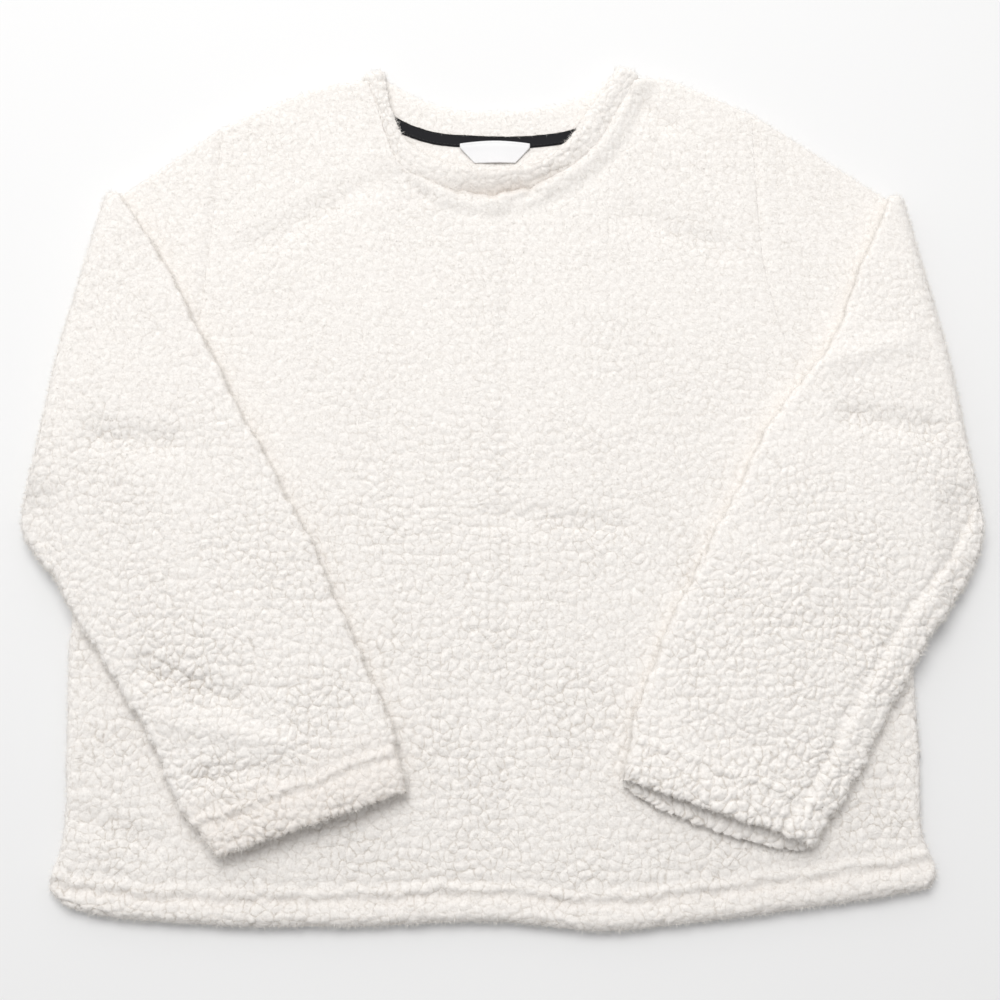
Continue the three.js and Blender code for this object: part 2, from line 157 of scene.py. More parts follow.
# %% Window
WINDOW_PLACE = (-0.26, 0.95, 2.05)
WINDOW_SIZE = 1.5
WINDOW_POWER = 31.0
WINDOW_COLOUR = (1.0, 0.995, 0.985)
lamp = bpy.data.lights.new("window", "AREA")
lamp.shape = "DISK"
lamp.size = WINDOW_SIZE
lamp.energy = WINDOW_POWER
lamp.color = WINDOW_COLOUR
window = bpy.data.objects.new("window", lamp)
window.location = WINDOW_PLACE
window.rotation_euler = (aim - Vector(WINDOW_PLACE)).to_track_quat("-Z", "Y").to_euler()
scene.collection.objects.link(window)


# %% [markdown]
# ## Small tools
# A few helpers are used by every piece: a smooth curve through plan points, points at shares of
# a line, the distance from a line, and a mesh made from a sheet of points. A grid of points
# is the natural mesh for cloth, because rows and columns follow the fabric.

# %% Curves and distances
SPAN_STEPS = 50   # fine steps between two points of a curve


def run_along(line):
    """The distance gone at each point of a line."""
    return np.concatenate([[0], np.cumsum(np.linalg.norm(np.diff(line, axis=0), axis=1))])


def along(line, shares):
    """Points at shares of a line's length."""
    run = run_along(line)
    return np.column_stack([np.interp(np.asarray(shares) * run[-1], run, side) for side in line.T])


def length(line):
    """The whole length of a line."""
    return float(np.linalg.norm(np.diff(line, axis=0), axis=1).sum())


def smooth_curve(points, step=1.0):
    """A centripetal curve through the points, in even steps of about that many millimetres."""
    p = np.array(points, float)
    q = np.vstack([2 * p[0] - p[1], p, 2 * p[-1] - p[-2]])
    t = np.linspace(0, 1, SPAN_STEPS, endpoint=False)[:, None]
    spans = []
    for a, b, c, d in zip(q, q[1:], q[2:], q[3:]):
        ka, kb, kc = (math.sqrt(np.linalg.norm(n - m)) for m, n in ((a, b), (b, c), (c, d)))
        leave = ((b - a) / ka - (c - a) / (ka + kb) + (c - b) / kb) * kb
        arrive = ((c - b) / kb - (d - b) / (kb + kc) + (d - c) / kc) * kb
        spans.append((2 * t**3 - 3 * t**2 + 1) * b + (t**3 - 2 * t**2 + t) * leave
                     + (3 * t**2 - 2 * t**3) * c + (t**3 - t**2) * arrive)
    line = np.vstack([*spans, p[-1:]])
    return along(line, np.linspace(0, 1, max(3, round(length(line) / step) + 1)))


def nearest(line, plan):
    """How far each plan point is from a line, and the direction towards it."""
    tree = KDTree(len(line))
    for i, (x, y) in enumerate(line):
        tree.insert((x, y, 0), i)
    tree.balance()
    found = np.array([(*spot[:2], far) for spot, _, far in (tree.find((x, y, 0)) for x, y in plan)])
    far = found[:, 2]
    return far, (found[:, :2] - plan) / np.maximum(far, 1e-6)[:, None]


def bump(distance, width):
    """A soft ridge: 1 on its line, and almost 0 beyond twice its width."""
    return np.exp(-(distance / width) ** 2)


def roll(distance, radius):
    """The height of a rounded edge: 0 on the edge, and 1 from the radius inwards."""
    return np.sqrt(1 - (1 - np.clip(distance / radius, 0, 1)) ** 2)


def ease(value):
    """A smooth step from 0 to 1."""
    t = np.clip(value, 0, 1)
    return t * t * (3 - 2 * t)


# %% Meshes from sheets of points
APART = 900   # pieces lie this far apart on the uncut cloth, so their clumps differ
# The pile lies flatter towards the shoulders: from this height, over this length, by this share.
FLATTER_FROM, FLATTER_OVER, FLATTER_BY = -190, 350, 0.6
STRETCHED = 0.2   # a face wider than this share of the map is hidden, and stretched over it


def sheet_quads(rows, columns, around=False):
    """Faces of a grid of points, row by row. around joins the last column to the first."""
    index = np.arange(rows * columns).reshape(rows, columns)
    if around:
        index = np.hstack([index, index[:, :1]])
    corners = (index[:-1, :-1], index[:-1, 1:], index[1:, 1:], index[1:, :-1])
    return np.stack([c.ravel() for c in corners], axis=1)


def spread_map(mesh, cloth, faces):
    """A UV map of the cloth laid flat. Hidden faces that would stretch shrink into a corner."""
    low, high = cloth.min(axis=0), cloth.max(axis=0)
    flat = 0.02 + 0.97 * (cloth - low) / (high - low)
    spots = []
    for face in faces:
        place = flat[face]
        hidden = len(face) > 4 or np.ptp(place, axis=0).max() > STRETCHED
        spots.append(0.005 + 0.01 * place if hidden else place)
    mesh.uv_layers.new(name="OFBake").uv.foreach_set("vector", np.vstack(spots).ravel())


def cloth_object(name, points, faces, cloth, stands, painted_shade=None):
    """A mesh object in the row's frame, from plan millimetres.

    cloth is where each point lies on the uncut cloth, stands is how far the pile stands there,
    and the last argument is how much brown painted shade lies there.
    """
    mesh = bpy.data.meshes.new(name)
    mesh.from_pydata(((points + LAY) * MM).tolist(), [], faces)
    mesh.polygons.foreach_set("use_smooth", [len(f) == 4 for f in faces])
    on_cloth = np.column_stack([cloth * MM, np.zeros(len(cloth))])
    mesh.attributes.new("cloth", "FLOAT_VECTOR", "POINT").data.foreach_set("vector", on_cloth.ravel())
    worn = 1 - FLATTER_BY * ease((points[:, 1] - FLATTER_FROM) / FLATTER_OVER)
    mesh.attributes.new("stands", "FLOAT", "POINT").data.foreach_set("value", stands * worn)
    painted_shade = np.zeros(len(points)) if painted_shade is None else painted_shade
    mesh.attributes.new("painted_shade", "FLOAT", "POINT").data.foreach_set("value", painted_shade)
    spread_map(mesh, cloth, faces)
    mesh.update()
    made = bpy.data.objects.new(name, mesh)
    scene.collection.objects.link(made)
    return made


# %% [markdown]
# ## Creases
# Fleece this thick doesn't crease sharply. Each crease is a soft trough or ridge along a short
# line, and the height of the cloth is the sum of them. That is quicker
# to steer than a simulation, and it gives the same cloth each time.

# %% Crease tables
# Columns: x and y of one end, x and y of the other, half width, height.
BODY_CREASES = [
    (6, 215, 4, -255, 9, -1.0), (-10, -14, 88, -22, 11, -1.5), (-192, 197, -98, 252, 15, -1.8),
    (100, 226, 172, 196, 15, -1.8), (-298, -230, -240, -248, 12, -1.8), (-76, 257, -58, 240, 8, -2.2),
    (110, 324, 130, 300, 12, -2.8), (-32, 241, -18, 236, 6, -2.0), (12, 236, 28, 242, 6, -2.0)]
LEFT_SLEEVE_CREASES = [
    (-295, 42, -245, 38, 15, -3.0), (-252, -128, -188, -150, 12, -3.0),
    (-236, -164, -150, -180, 11, 2.0), (-208, -204, -158, -198, 10, -2.5)]
RIGHT_SLEEVE_CREASES = [
    (258, 58, 316, 48, 14, -3.0), (248, 102, 306, 118, 14, 2.0), (262, 150, 262, 148, 11, -2.0),
    (236, -90, 246, -98, 26, -2.0), (160, -176, 180, -182, 22, -1.5)]
print("creases:", len(BODY_CREASES + LEFT_SLEEVE_CREASES + RIGHT_SLEEVE_CREASES))


# %% Height from creases
def crease_height(creases, x, y):
    """The sum of all creases at plan points."""
    total = np.zeros_like(x)
    for x1, y1, x2, y2, half, height in creases:
        dx, dy = x2 - x1, y2 - y1
        t = np.clip(((x - x1) * dx + (y - y1) * dy) / (dx * dx + dy * dy), 0, 1)
        total += height * bump(np.hypot(x - x1 - t * dx, y - y1 - t * dy), 0.7 * half)
    return total


def opened(creases, x, y):
    """The pile opens in the troughs of creases, so its gaps show more, and closes on the ridges."""
    return 1 + 0.25 * np.clip(-crease_height(creases, x, y), -1, 3)


# %% [markdown]
# ## The front and the back
# Both panels are one patch between four curves: the hem, the two sides, and the upper outline
# of armholes, shoulders and neck. Rows run from the hem up. In each row the columns are
# spread by how much is seen there, so that few faces are spent under the sleeves and
# many where the curls show.

# %% Plan of a panel
def panel_plan(neck, rows, columns, seen):
    """A grid of plan points, with how far each one is from the hem."""
    curves = [smooth_curve(c) for c in (LEFT_SHOULDER, neck, RIGHT_SHOULDER)]
    top = np.vstack([curves[0], curves[1][1:], curves[2][1:]])
    left = np.vstack([smooth_curve(LEFT_SIDE), smooth_curve(LEFT_ARMHOLE)[1:]])
    right = np.vstack([smooth_curve(RIGHT_SIDE), smooth_curve(RIGHT_ARMHOLE[::-1])[1:]])
    hem = smooth_curve(HEM)
    u = ((top[:, 0] - top[0, 0]) / (top[-1, 0] - top[0, 0]))[:, None]
    u = 0.7 * u + 0.3 * np.linspace(0, 1, len(top))[:, None]
    foot = along(hem, u[:, 0])
    tall = np.linalg.norm(top - foot, axis=1)
    grid, from_hem = [], []
    for v in rows:
        ends = (1 - u) * along(left, [v]) + u * along(right, [v])
        low = (1 - u) * hem[0] + u * hem[-1]
        high = (1 - u) * top[0] + u * top[-1]
        row = (1 - v) * foot + v * top + ends - (1 - v) * low - v * high
        middle = (row[1:] + row[:-1]) / 2
        step = np.linalg.norm(np.diff(row, axis=0), axis=1) * seen(middle[:, 0], middle[:, 1])
        run = np.concatenate([[0], np.cumsum(step)])
        at = np.linspace(0, run[-1], columns)
        grid.append(np.column_stack([np.interp(at, run, row[:, i]) for i in (0, 1)]))
        from_hem.append(np.interp(at, run, v * tall))
    return np.array(grid), np.array(from_hem)


# %% What is seen of a panel
COVERED_FROM, COVERED_OVER = 10, 10   # millimetres in from a sleeve's edge, and the blur there


def under_sleeve(x, y):
    """1 where a folded sleeve covers the front, 0 where the front shows."""
    covered = np.zeros_like(x)
    for stations, side in ((LEFT_SLEEVE, -1), (RIGHT_SLEEVE, 1)):
        ix, iy, ox, oy = np.array(stations, float).T
        inner = np.interp(-y, -iy, side * ix)
        outer = np.interp(-y, -oy, side * ox)
        cuff = iy[-1] + (oy[-1] - iy[-1]) * (x - ix[-1]) / (ox[-1] - ix[-1])
        clear, blur = COVERED_FROM, COVERED_OVER
        across = ease((side * x - inner - clear) / blur) * ease((outer - clear - side * x) / blur)
        covered += across * ease((y - cuff - clear) / blur)
    return covered


def grid_edge(rows, columns):
    """Indices round the edge of a grid, anticlockwise seen from above."""
    index = np.arange(rows * columns).reshape(rows, columns)
    return np.concatenate([index[0, :-1], index[:-1, -1], index[-1, :0:-1], index[:0:-1, 0]])


FREE_EDGES = np.vstack([smooth_curve(c) for c in (
    LEFT_SIDE, HEM, RIGHT_SIDE, LEFT_SHOULDER, RIGHT_SHOULDER)])
ARMHOLES = np.vstack([smooth_curve(c) for c in (LEFT_ARMHOLE, RIGHT_ARMHOLE)])
print("free edges:", round(length(smooth_curve(HEM))), "mm of hem")

# %% Height of the front
# The hem is turned up and sewn: a fat roll at the edge, a sewn groove, a narrow ridge and
# a softer groove.
HEM_TURN = 19


def turned_edge(distance, place, turn):
    """Extra height of an edge turned and sewn at turn, at a distance from it and a place along it."""
    wander = 0.9 * np.sin(place * 0.11) + 0.6 * np.sin(place * 0.31 + 2)
    from_seam = distance - turn - wander
    roll_up = 1.6 * bump(distance - 0.45 * turn, 0.45 * turn)
    sewn = -(1.5 + 0.4 * np.sin(place * 0.17 + 1)) * bump(from_seam, 2.9)
    return roll_up + sewn + 1.1 * bump(from_seam - 5, 3.4) - 0.8 * bump(from_seam - 10.5, 3.4)


def sunk_seam(x):
    """How deep the neck seam is sunk: most under the chin, little at the sides."""
    return 0.12 + 0.88 * bump(x - 2, 48) + 0.3 * ease((x - 30) / 40)


def under_chin(x):
    """1 under the chin, where the neck seam puckers and gets brown painted shade, and 0 at the sides."""
    return bump(x - 2, 46)


def front_height(x, y, from_hem, armhole, neck):
    """Height of the front above the back, before its edges are rounded."""
    full = PILE + turned_edge(from_hem, x, HEM_TURN) + crease_height(BODY_CREASES, x, y)
    right = ease((x + 70) / 60)
    sunk = sunk_seam(x)
    full = full + (3.3 - 0.7 * right) * bump(neck - 2 - 3 * sunk, 10) - 1.0 * right * bump(neck - 18, 6)
    return full - 0.7 * bump(armhole, 3.5) - 2.8 * sunk * bump(neck, 3.2)


# %% Plan of the front
# The neck seam is puckered under the chin. Fewer columns run where a sleeve hides the front.
FRONT_ROWS, FRONT_COLUMNS = 318, 300
NECK_POINTS = 80
HIDDEN_SPARED = 0.7   # share of the columns that is spared under a sleeve
neck_line = smooth_curve(FRONT_SEAM)
puckers = 1.2 * np.sin(neck_line[:, 0] * 0.19) + 0.8 * np.sin(neck_line[:, 0] * 0.43 + 1)
neck_line[:, 1] += under_chin(neck_line[:, 0]) * puckers
NECK_SEAM = along(neck_line, np.linspace(0, 1, NECK_POINTS))
rows = np.linspace(0, 1, FRONT_ROWS)
front_plan, front_from_hem = panel_plan(
    NECK_SEAM, rows, FRONT_COLUMNS, lambda x, y: 1 - HIDDEN_SPARED * under_sleeve(x, y))
print("front plan:", front_plan.shape)

# %% Front
# A wall and a closing face under the edge make the panel a closed shell.
FRONT_ROLL = 5.5       # radius of the front's rounded edge
FRONT_UNDER = 5.1      # height of its underside
flat = front_plan.reshape(-1, 2)
to_armhole, _ = nearest(ARMHOLES, flat)
to_neck, _ = nearest(neck_line, flat)
to_edge, outwards = nearest(FREE_EDGES, flat)
full = front_height(*flat.T, front_from_hem.ravel(), to_armhole, to_neck)
risen = full * roll(to_edge, FRONT_ROLL)
edge = grid_edge(FRONT_ROWS, FRONT_COLUMNS)
first = len(flat)
points = np.vstack([np.column_stack([flat, LAYER + risen]),
                    np.column_stack([flat[edge], np.full(len(edge), FRONT_UNDER)])])
on_cloth = flat + outwards * (full - risen)[:, None]
ring = np.arange(first, first + len(edge))
wall = np.stack([ring, np.roll(ring, -1), np.roll(edge, -1), edge], axis=1)
faces = sheet_quads(FRONT_ROWS, FRONT_COLUMNS).tolist() + wall.tolist() + [ring[::-1].tolist()]
stands = opened(BODY_CREASES, *flat.T)
# painted shade: brown in the neck seam under the chin, along the hem's edge and in its sewn groove
painted_shade = 0.3 * bump(to_neck, 3.5) * under_chin(flat[:, 0]) + 0.05 * bump(front_from_hem.ravel(), 30)
painted_shade += 0.08 * bump(front_from_hem.ravel() - HEM_TURN, 4)
hidden = np.zeros(len(edge))
front = cloth_object("front_cloth", points, faces, np.vstack([on_cloth, on_cloth[edge]]),
                     np.concatenate([stands, hidden]), np.concatenate([painted_shade, hidden]))
on_grid = np.arange(len(front.data.polygons)) < len(faces) - len(wall) - 1
front.data.polygons.foreach_set("use_smooth", on_grid)   # the wall under the edge is its own face
print("front:", len(front.data.polygons), "faces")

# %% Plan of the back
# The back's edge lies inside the front's, so the front's roll makes the outline and the shadow.
BACK_ROWS, BACK_COLUMNS = 150, 190
BACK_NARROWER = 0.011   # share of its width
BACK_SHORTER = 6.0


def back_seen(x, y):
    """Faces are spent at the neck, where the inside of the back shows, and thinned elsewhere."""
    near = ease((70 - np.abs(x + 5)) / 30) * ease((y - 240) / 20)
    return 0.25 + 0.9 * near


middle = 0.5 - 0.5 * np.cos(np.linspace(0, np.pi, BACK_ROWS))
back_plan, _ = panel_plan(BACK_SEAM, middle, BACK_COLUMNS, back_seen)
flat = back_plan.reshape(-1, 2)
lower = ease((200 - flat[:, 1]) / 300)[:, None]
flat = flat + lower * np.column_stack([-BACK_NARROWER * flat[:, 0], np.full(len(flat), BACK_SHORTER)])
print("back plan:", back_plan.shape)

# %% Back
# The edge turns down to the table in a few steps, and a last face closes the underside.
EDGE_STEPS = 6
EDGE_INSET = 4.7   # how far in the edge ends on the table
edge = grid_edge(BACK_ROWS, BACK_COLUMNS)
loop = flat[edge]
tangent = np.roll(loop, -1, axis=0) - np.roll(loop, 1, axis=0)
inward = np.column_stack([-tangent[:, 1], tangent[:, 0]]) / np.linalg.norm(tangent, axis=1)[:, None]
points = [np.column_stack([flat, np.full(len(flat), PILE)])]
on_cloth = [flat]
faces = sheet_quads(BACK_ROWS, BACK_COLUMNS).tolist()
above = edge
for turn in np.linspace(0, np.pi / 2, EDGE_STEPS)[1:]:
    first = sum(len(p) for p in points)
    place = loop + inward * EDGE_INSET * (1 - math.cos(turn))
    points.append(np.column_stack([place, np.full(len(loop), PILE * (1 - math.sin(turn)))]))
    on_cloth.append(loop - inward * PILE * turn)
    below = np.arange(first, first + len(loop))
    faces += np.stack([below, np.roll(below, -1), np.roll(above, -1), above], axis=1).tolist()
    above = below
faces.append(above[::-1].tolist())
points = np.vstack(points)
stands = np.concatenate([np.ones(len(points) - len(loop)), np.zeros(len(loop))])
back = cloth_object("back_cloth", points, faces, np.vstack(on_cloth) + [APART, 0], stands)
print("back:", len(back.data.polygons), "faces")


# %% [markdown]
# ## The sleeves
# A sleeve is a flattened tube. It leaves the armhole on the table, turns over at the fold and
# lies back across the front. Each sleeve is made in two lengths, because a different side of
# the tube is seen in each: the cap, from the armhole to the fold, and the arm, from the fold
# to the cuff. Each ring of the tube is a long loop with round ends.

# %% Rings of a tube
def tube_loop(upper, lower, ends):
    """Place across, bulge past the ends and side of each point round a flattened tube."""
    turn = np.linspace(np.pi / 2, -np.pi / 2, ends + 2)[1:-1]
    across = np.concatenate([
        np.linspace(0, 1, upper), np.ones(ends), np.linspace(1, 0, lower), np.zeros(ends)])
    bulge = np.concatenate([np.zeros(upper), np.cos(turn), np.zeros(lower), -np.cos(turn)])
    side = np.concatenate([np.ones(upper), np.sin(turn), -np.ones(lower), -np.sin(turn)])
    return across, bulge, side


def ring_places(loop, wide, half):
    """Where the points of a ring fall across the sleeve, as a share of its width there."""
    across, bulge, _ = loop
    share = half / wide
    return share + (1 - 2 * share) * across + share * bulge


def ring_unrolled(loop, wide, half, face):
    """The same places on the cloth, unrolled from the face that shows, 1 above or -1 below."""
    across, bulge, side = loop
    share = half / wide
    angle = np.arccos(np.clip(face * side, -1, 1))
    beyond = np.where(across > 0.5, 1, -1)
    end = np.where(across > 0.5, 1 - share, share)
    straight = share + (1 - 2 * share) * across
    unrolled = end + beyond * (share * angle + np.where(bulge == 0, np.abs(end - straight), 0))
    return np.where(face * side > 0.999, straight, unrolled)


def mixed(p, q, t):
    """Points at shares t of the way from p to q."""
    return p + (q - p) * np.asarray(t)[..., None]


# %% The fold of a sleeve
BODY_HALF = 312   # past this the arm hangs over the side of the body
DROOP = 5.0       # how far it sinks there
TIP_SLIP = 4.0    # how far the upper end of a sleeve slips down as it folds over


def overhang(side, plan):
    """How far a folded sleeve sinks where it hangs over the side of the body."""
    return DROOP * ease((side * plan[:, 0] - BODY_HALF) / 25) * ease((16 - plan[:, 1]) / 30)


class Fold:
    """The line where a sleeve turns over."""

    def __init__(self, stations):
        start = np.array(stations[0], float)
        self.top, self.bottom = start[:2], start[2:]
        self.side = np.sign(start[0])
        self.wide = np.linalg.norm(self.bottom - self.top)
        axis = (self.bottom - self.top) / self.wide
        self.away = np.array([-axis[1], axis[0]]) * self.side

    def ring(self, loop, turn, half, face):
        """Points of a ring at an angle round the fold, and where they lie on the cloth."""
        slip = TIP_SLIP / self.wide * (1 - math.cos(turn)) / 2
        a = slip + (1 - slip) * ring_places(loop, self.wide, half)
        side = loop[2]
        line = mixed(self.top, self.bottom, a)
        out = (SLEEVE_FOLD - side * half) * math.sin(turn) * (1 - 0.85 * ease((a - 0.45) / 0.55))
        up = SLEEVE_FOLD * (1 - math.cos(turn)) + half + side * half * math.cos(turn)
        up = up - overhang(self.side, line) * (1 - math.cos(turn)) / 2
        unrolled = mixed(self.top, self.bottom, ring_unrolled(loop, self.wide, half, face))
        to_come = (SLEEVE_FOLD - face * half) * (math.pi - turn if face < 0 else turn)
        points = np.column_stack([line + self.away * out[:, None], up])
        stands = np.full(len(a), 1 + 0.7 * math.sin(turn))   # bent cloth opens its pile
        return points, unrolled + self.away * to_come, stands, np.zeros(len(a))


# %% Sleeve caps
CAP_RINGS = 52
ROUND_END = 9      # points round each end of a flattened tube
CAP_LOOP = tube_loop(150, 14, ROUND_END)
FOLD_JOIN = math.radians(25)   # where round the fold the cap ends and the arm begins
TUCK_AT, TUCK_DOWN = (-0.035, -0.012, 0), (3, 0.3, 0)   # the cap goes on under the front


def sleeve_cap(name, stations, armhole):
    """From the armhole to the underside of the fold. The upper face shows."""
    fold = Fold(stations)
    seam = smooth_curve(armhole if fold.side > 0 else armhole[::-1])
    axis = (fold.bottom - fold.top) / fold.wide
    upper = np.clip(CAP_LOOP[2], 0, 1)
    rings = []
    for t in np.concatenate([TUCK_AT[:-1], np.linspace(0, 1, CAP_RINGS)]):
        wide = (1 - t) * np.linalg.norm(seam[-1] - seam[0]) + t * fold.wide
        a = ring_places(CAP_LOOP, wide, LAYER)
        start = along(seam, a)
        plan = mixed(start, mixed(fold.top, fold.bottom, a), np.full(len(a), t))
        far = t * np.linalg.norm(mixed(fold.top, fold.bottom, a) - start, axis=1)
        z = LAYER * (1 + CAP_LOOP[2]) + upper * (0.5 * bump(far - 9, 6) - 1.0 * bump(far, 3.5))
        z = z - upper * np.interp(t, TUCK_AT, TUCK_DOWN)
        beyond = (ring_unrolled(CAP_LOOP, wide, LAYER, 1) - a) * wide
        on_cloth = plan + axis * beyond[:, None]
        rings.append((np.column_stack([plan, z]), on_cloth, np.ones(len(a)), np.zeros(len(a))))
    for turn in np.linspace(0, FOLD_JOIN, 4)[1:]:
        rings.append(fold.ring(CAP_LOOP, turn, LAYER, 1))
    return tube_object(name, rings, fold.side)


def tube_object(name, rings, side):
    """One cloth piece through rings. The faces of a left sleeve are turned, so that they point out."""
    points, on_cloth, stands, painted_shade = zip(*rings)
    quads = sheet_quads(len(rings), len(points[0]), around=True)
    if side < 0:
        quads = quads[:, ::-1]
    return cloth_object(name, np.vstack(points), quads.tolist(), np.vstack(on_cloth),
                        np.concatenate(stands), np.concatenate(painted_shade))


cap_left = sleeve_cap("sleeve_left_cap", LEFT_SLEEVE, LEFT_ARMHOLE)
cap_right = sleeve_cap("sleeve_right_cap", RIGHT_SLEEVE, RIGHT_ARMHOLE)
print("caps:", len(cap_left.data.polygons), len(cap_right.data.polygons), "faces")

# %% Sizes of the arms
ARM_STEPS = 280
CUFF_BAND = 46    # the last stretch, which gets more rings
CUFF_STEPS = 31
CUFF_TURN = 25
SETTLE = 60       # how far from the fold the arm comes to rest on the front
PUFF = 3.0        # how much the middle of the arm swells
CUFF_LIFT = 2.6   # how far the thick cuff stands off the front
CUFF_WALL = 3.5   # thickness of the cloth at the ends of the cuff's opening
# Columns: how far inside the cuff, and half the height of the opening there.
CUFF_LINING = [(0.2, 3.3), (0.7, 2.9), (1.4, 2.5), (2.4, 2.1), (3.6, 1.8), (5, 1.55), (6.6, 1.35),
               (8.4, 1.2), (10.4, 1.1), (12.6, 1.0), (15, 1.0), (19, 0.8), (24, 0.6)]
print("cuff lining:", len(CUFF_LINING), "rings")


# %% Sleeve arms
def uneven(run, phase):
    """How far an edge strays at a run along it: cloth edges are never straight."""
    slow = 0.8 * np.sin(run * 0.083 + phase) + 0.7 * np.sin(run * 0.21 + 2 * phase)
    return slow + 0.5 * np.sin(run * 0.47)


def sleeve_arm(name, stations, creases, peek, crisp, cuff_shade):
    """From the fold to the cuff.

    peek is how far the lower layer shows past the cuff, crisp how clear the cuff's sewn groove is,
    and the last argument how much brown painted shade lies on the cuff.
    """
    arm_loop = tube_loop(100 if peek else 40, 150, ROUND_END)
    fold = Fold(stations)
    table = np.array(stations, float)
    inner, outer = smooth_curve(table[:, :2]), smooth_curve(table[:, 2:])
    long_in, long_out = length(inner), length(outer)
    side = arm_loop[2]
    pressed = np.where(side > 0, np.minimum(1, 2.5 * side), side)   # the lower edge lies flat
    shows = np.clip(-side, 0, 1)
    turns = np.linspace(FOLD_JOIN, math.pi, 14)[:-1]
    rings = [fold.ring(arm_loop, turn, LAYER, -1) for turn in turns]
    high = LAYER + 2 * SLEEVE_FOLD
    rest = 2 * LAYER + 0.3 + LAYER

    def lay(free, band, half, inside=0.0):
        """A ring of the arm: free is the share of the arm left, band and inside the way from the rim."""
        back_in = band + inside + free * (long_in - CUFF_BAND)
        back_out = band + inside + free * (long_out - CUFF_BAND)
        top = along(inner, [1 - back_in / long_in])[0]
        bottom = along(outer, [1 - back_out / long_out])[0]
        settle = ease((long_in - back_in) / SETTLE)
        across = (bottom - top) / np.linalg.norm(bottom - top)
        top = top + across * (settle * uneven(back_in, 1) + (1 - settle) * TIP_SLIP)
        bottom = bottom + across * settle * uneven(back_out, 3)
        wide = np.linalg.norm(bottom - top)
        inset = min(inside, CUFF_WALL) / wide
        a = inset + (1 - 2 * inset) * ring_places(arm_loop, wide, half)
        plan = mixed(top, bottom, a)
        x, y = plan.T
        base = high + (rest - high) * settle + CUFF_LIFT * ease(1 - back_in / 70)
        hangs = overhang(fold.side, plan)
        swell = PUFF * np.sin(np.pi * np.clip(a, 0, 1)) + crease_height(creases, x, y)
        from_seam = (1 - a) * wide
        if peek:
            swell = swell + 1.5 * bump(from_seam - 16, 6) - 1.6 * bump(from_seam - 25, 3.5)
        at_cuff = free == 0 and inside == 0
        raised = settle * swell + (crisp * turned_edge(band, x, CUFF_TURN) if at_cuff else 0)
        if peek:
            heading = np.array([-(bottom - top)[1], (bottom - top)[0]]) * -fold.side
            heading /= np.linalg.norm(heading)
            reach = peek * ease(1 - (band + inside) / 30) * np.sin(np.pi * np.clip(a, 0, 1)) ** 0.4
            plan = plan + heading * (reach * (free == 0) * np.clip(side, 0, 1))[:, None]
        z = base - hangs - (side + (pressed - side) * settle) * half + shows * raised
        unrolled = mixed(top, bottom, ring_unrolled(arm_loop, wide, half, -1))
        rim = 1 + (0.5 * bump(band + inside, 9) if free == 0 else 0)
        # painted shade: brown over the last stretch of the cuff
        painted_shade = np.full(len(a), cuff_shade * ease(1.4 - (back_in + inside) / CUFF_BAND))
        return np.column_stack([plan, z]), unrolled, rim * opened(creases, x, y), painted_shade

    for free in np.linspace(1, 0, ARM_STEPS)[1:]:
        rings.append(lay(free, CUFF_BAND, LAYER))
    for band in np.linspace(CUFF_BAND, 0, CUFF_STEPS)[1:]:
        rings.append(lay(0, band, LAYER * (0.66 + 0.34 * float(roll(band, 4)))))
    for inside, half in CUFF_LINING:
        rings.append(lay(0, 0, half, inside))
    return tube_object(name, rings, fold.side)


arm_left = sleeve_arm("sleeve_left_arm", LEFT_SLEEVE, LEFT_SLEEVE_CREASES, 0, 1.0, 0.18)
arm_right = sleeve_arm("sleeve_right_arm", RIGHT_SLEEVE, RIGHT_SLEEVE_CREASES, 12, 0.6, 0.0)
print("arms:", len(arm_left.data.polygons), len(arm_right.data.polygons), "faces")

# %% [markdown]
# ## The neckband
# The band is doubled cloth sewn to the neck seam. It is one ring: its front half lies face up and
# its back half face down, and it folds over at both shoulder tips. One rounded section is
# carried round the ring.

# %% Section of the neckband
BAND_WIDE = 23
BAND_THICK = 6.4
BAND_FOLD_Z = 7.5   # the height at which the ring folds over
BAND_FRONT_RINGS, BAND_BACK_RINGS, BAND_TIP_RINGS = 250, 190, 14
# Columns: place from the seam to the edge, height where the seam is sunk, height where it is flush.
BAND_SECTION = np.array([
    (-0.12, 0.05, 0.05), (-0.12, 0.06, 0.5), (-0.05, 0.08, 0.68), (0, 0.12, 0.75), (0.06, 0.2, 0.81),
    (0.2, 0.4, 0.9), (0.42, 0.7, 0.96), (0.7, 0.95, 0.95), (0.91, 0.8, 0.8), (1, 0.45, 0.45),
    (0.92, 0.14, 0.14), (0.7, 0, 0), (0.2, 0, 0), (-0.12, 0.05, 0.05)])
BAND_POINTS = 46
BAND_SIZE = [BAND_WIDE, BAND_THICK]
shares = np.linspace(0, 1, BAND_POINTS)
sunk_section, flush_section = (
    along(smooth_curve(BAND_SECTION[:, [0, i]] * BAND_SIZE, 0.5), shares) / BAND_SIZE for i in (1, 2))
print("neckband section:", BAND_POINTS, "points")


# %% Rings of the neckband
def band_ring(seam, edge, turn, away):
    """The section laid from the seam to the edge: face up at turn 0, face down at half a turn."""
    facing = math.cos(turn)
    sunk = sunk_seam(seam[0]) if facing > 0 else 1.0
    section = mixed(flush_section, sunk_section, np.full(BAND_POINTS, sunk))
    place = np.maximum(section[:, :1], -0.04 * (facing < 0) - 0.12 * (facing > 0))
    reach = 0.4 + section[:, 1] * BAND_THICK
    plan = seam + (edge - seam) * place + away * (reach * math.sin(turn))[:, None]
    return np.column_stack([plan, BAND_FOLD_Z + reach * facing])


def band_half(seam, edge, count, turn):
    """Rings along the front or the back of the neck."""
    shares = np.linspace(0, 1, count)
    pairs = zip(along(smooth_curve(seam), shares), along(smooth_curve(edge), shares))
    return [band_ring(s, e, turn, np.zeros(2)) for s, e in pairs]


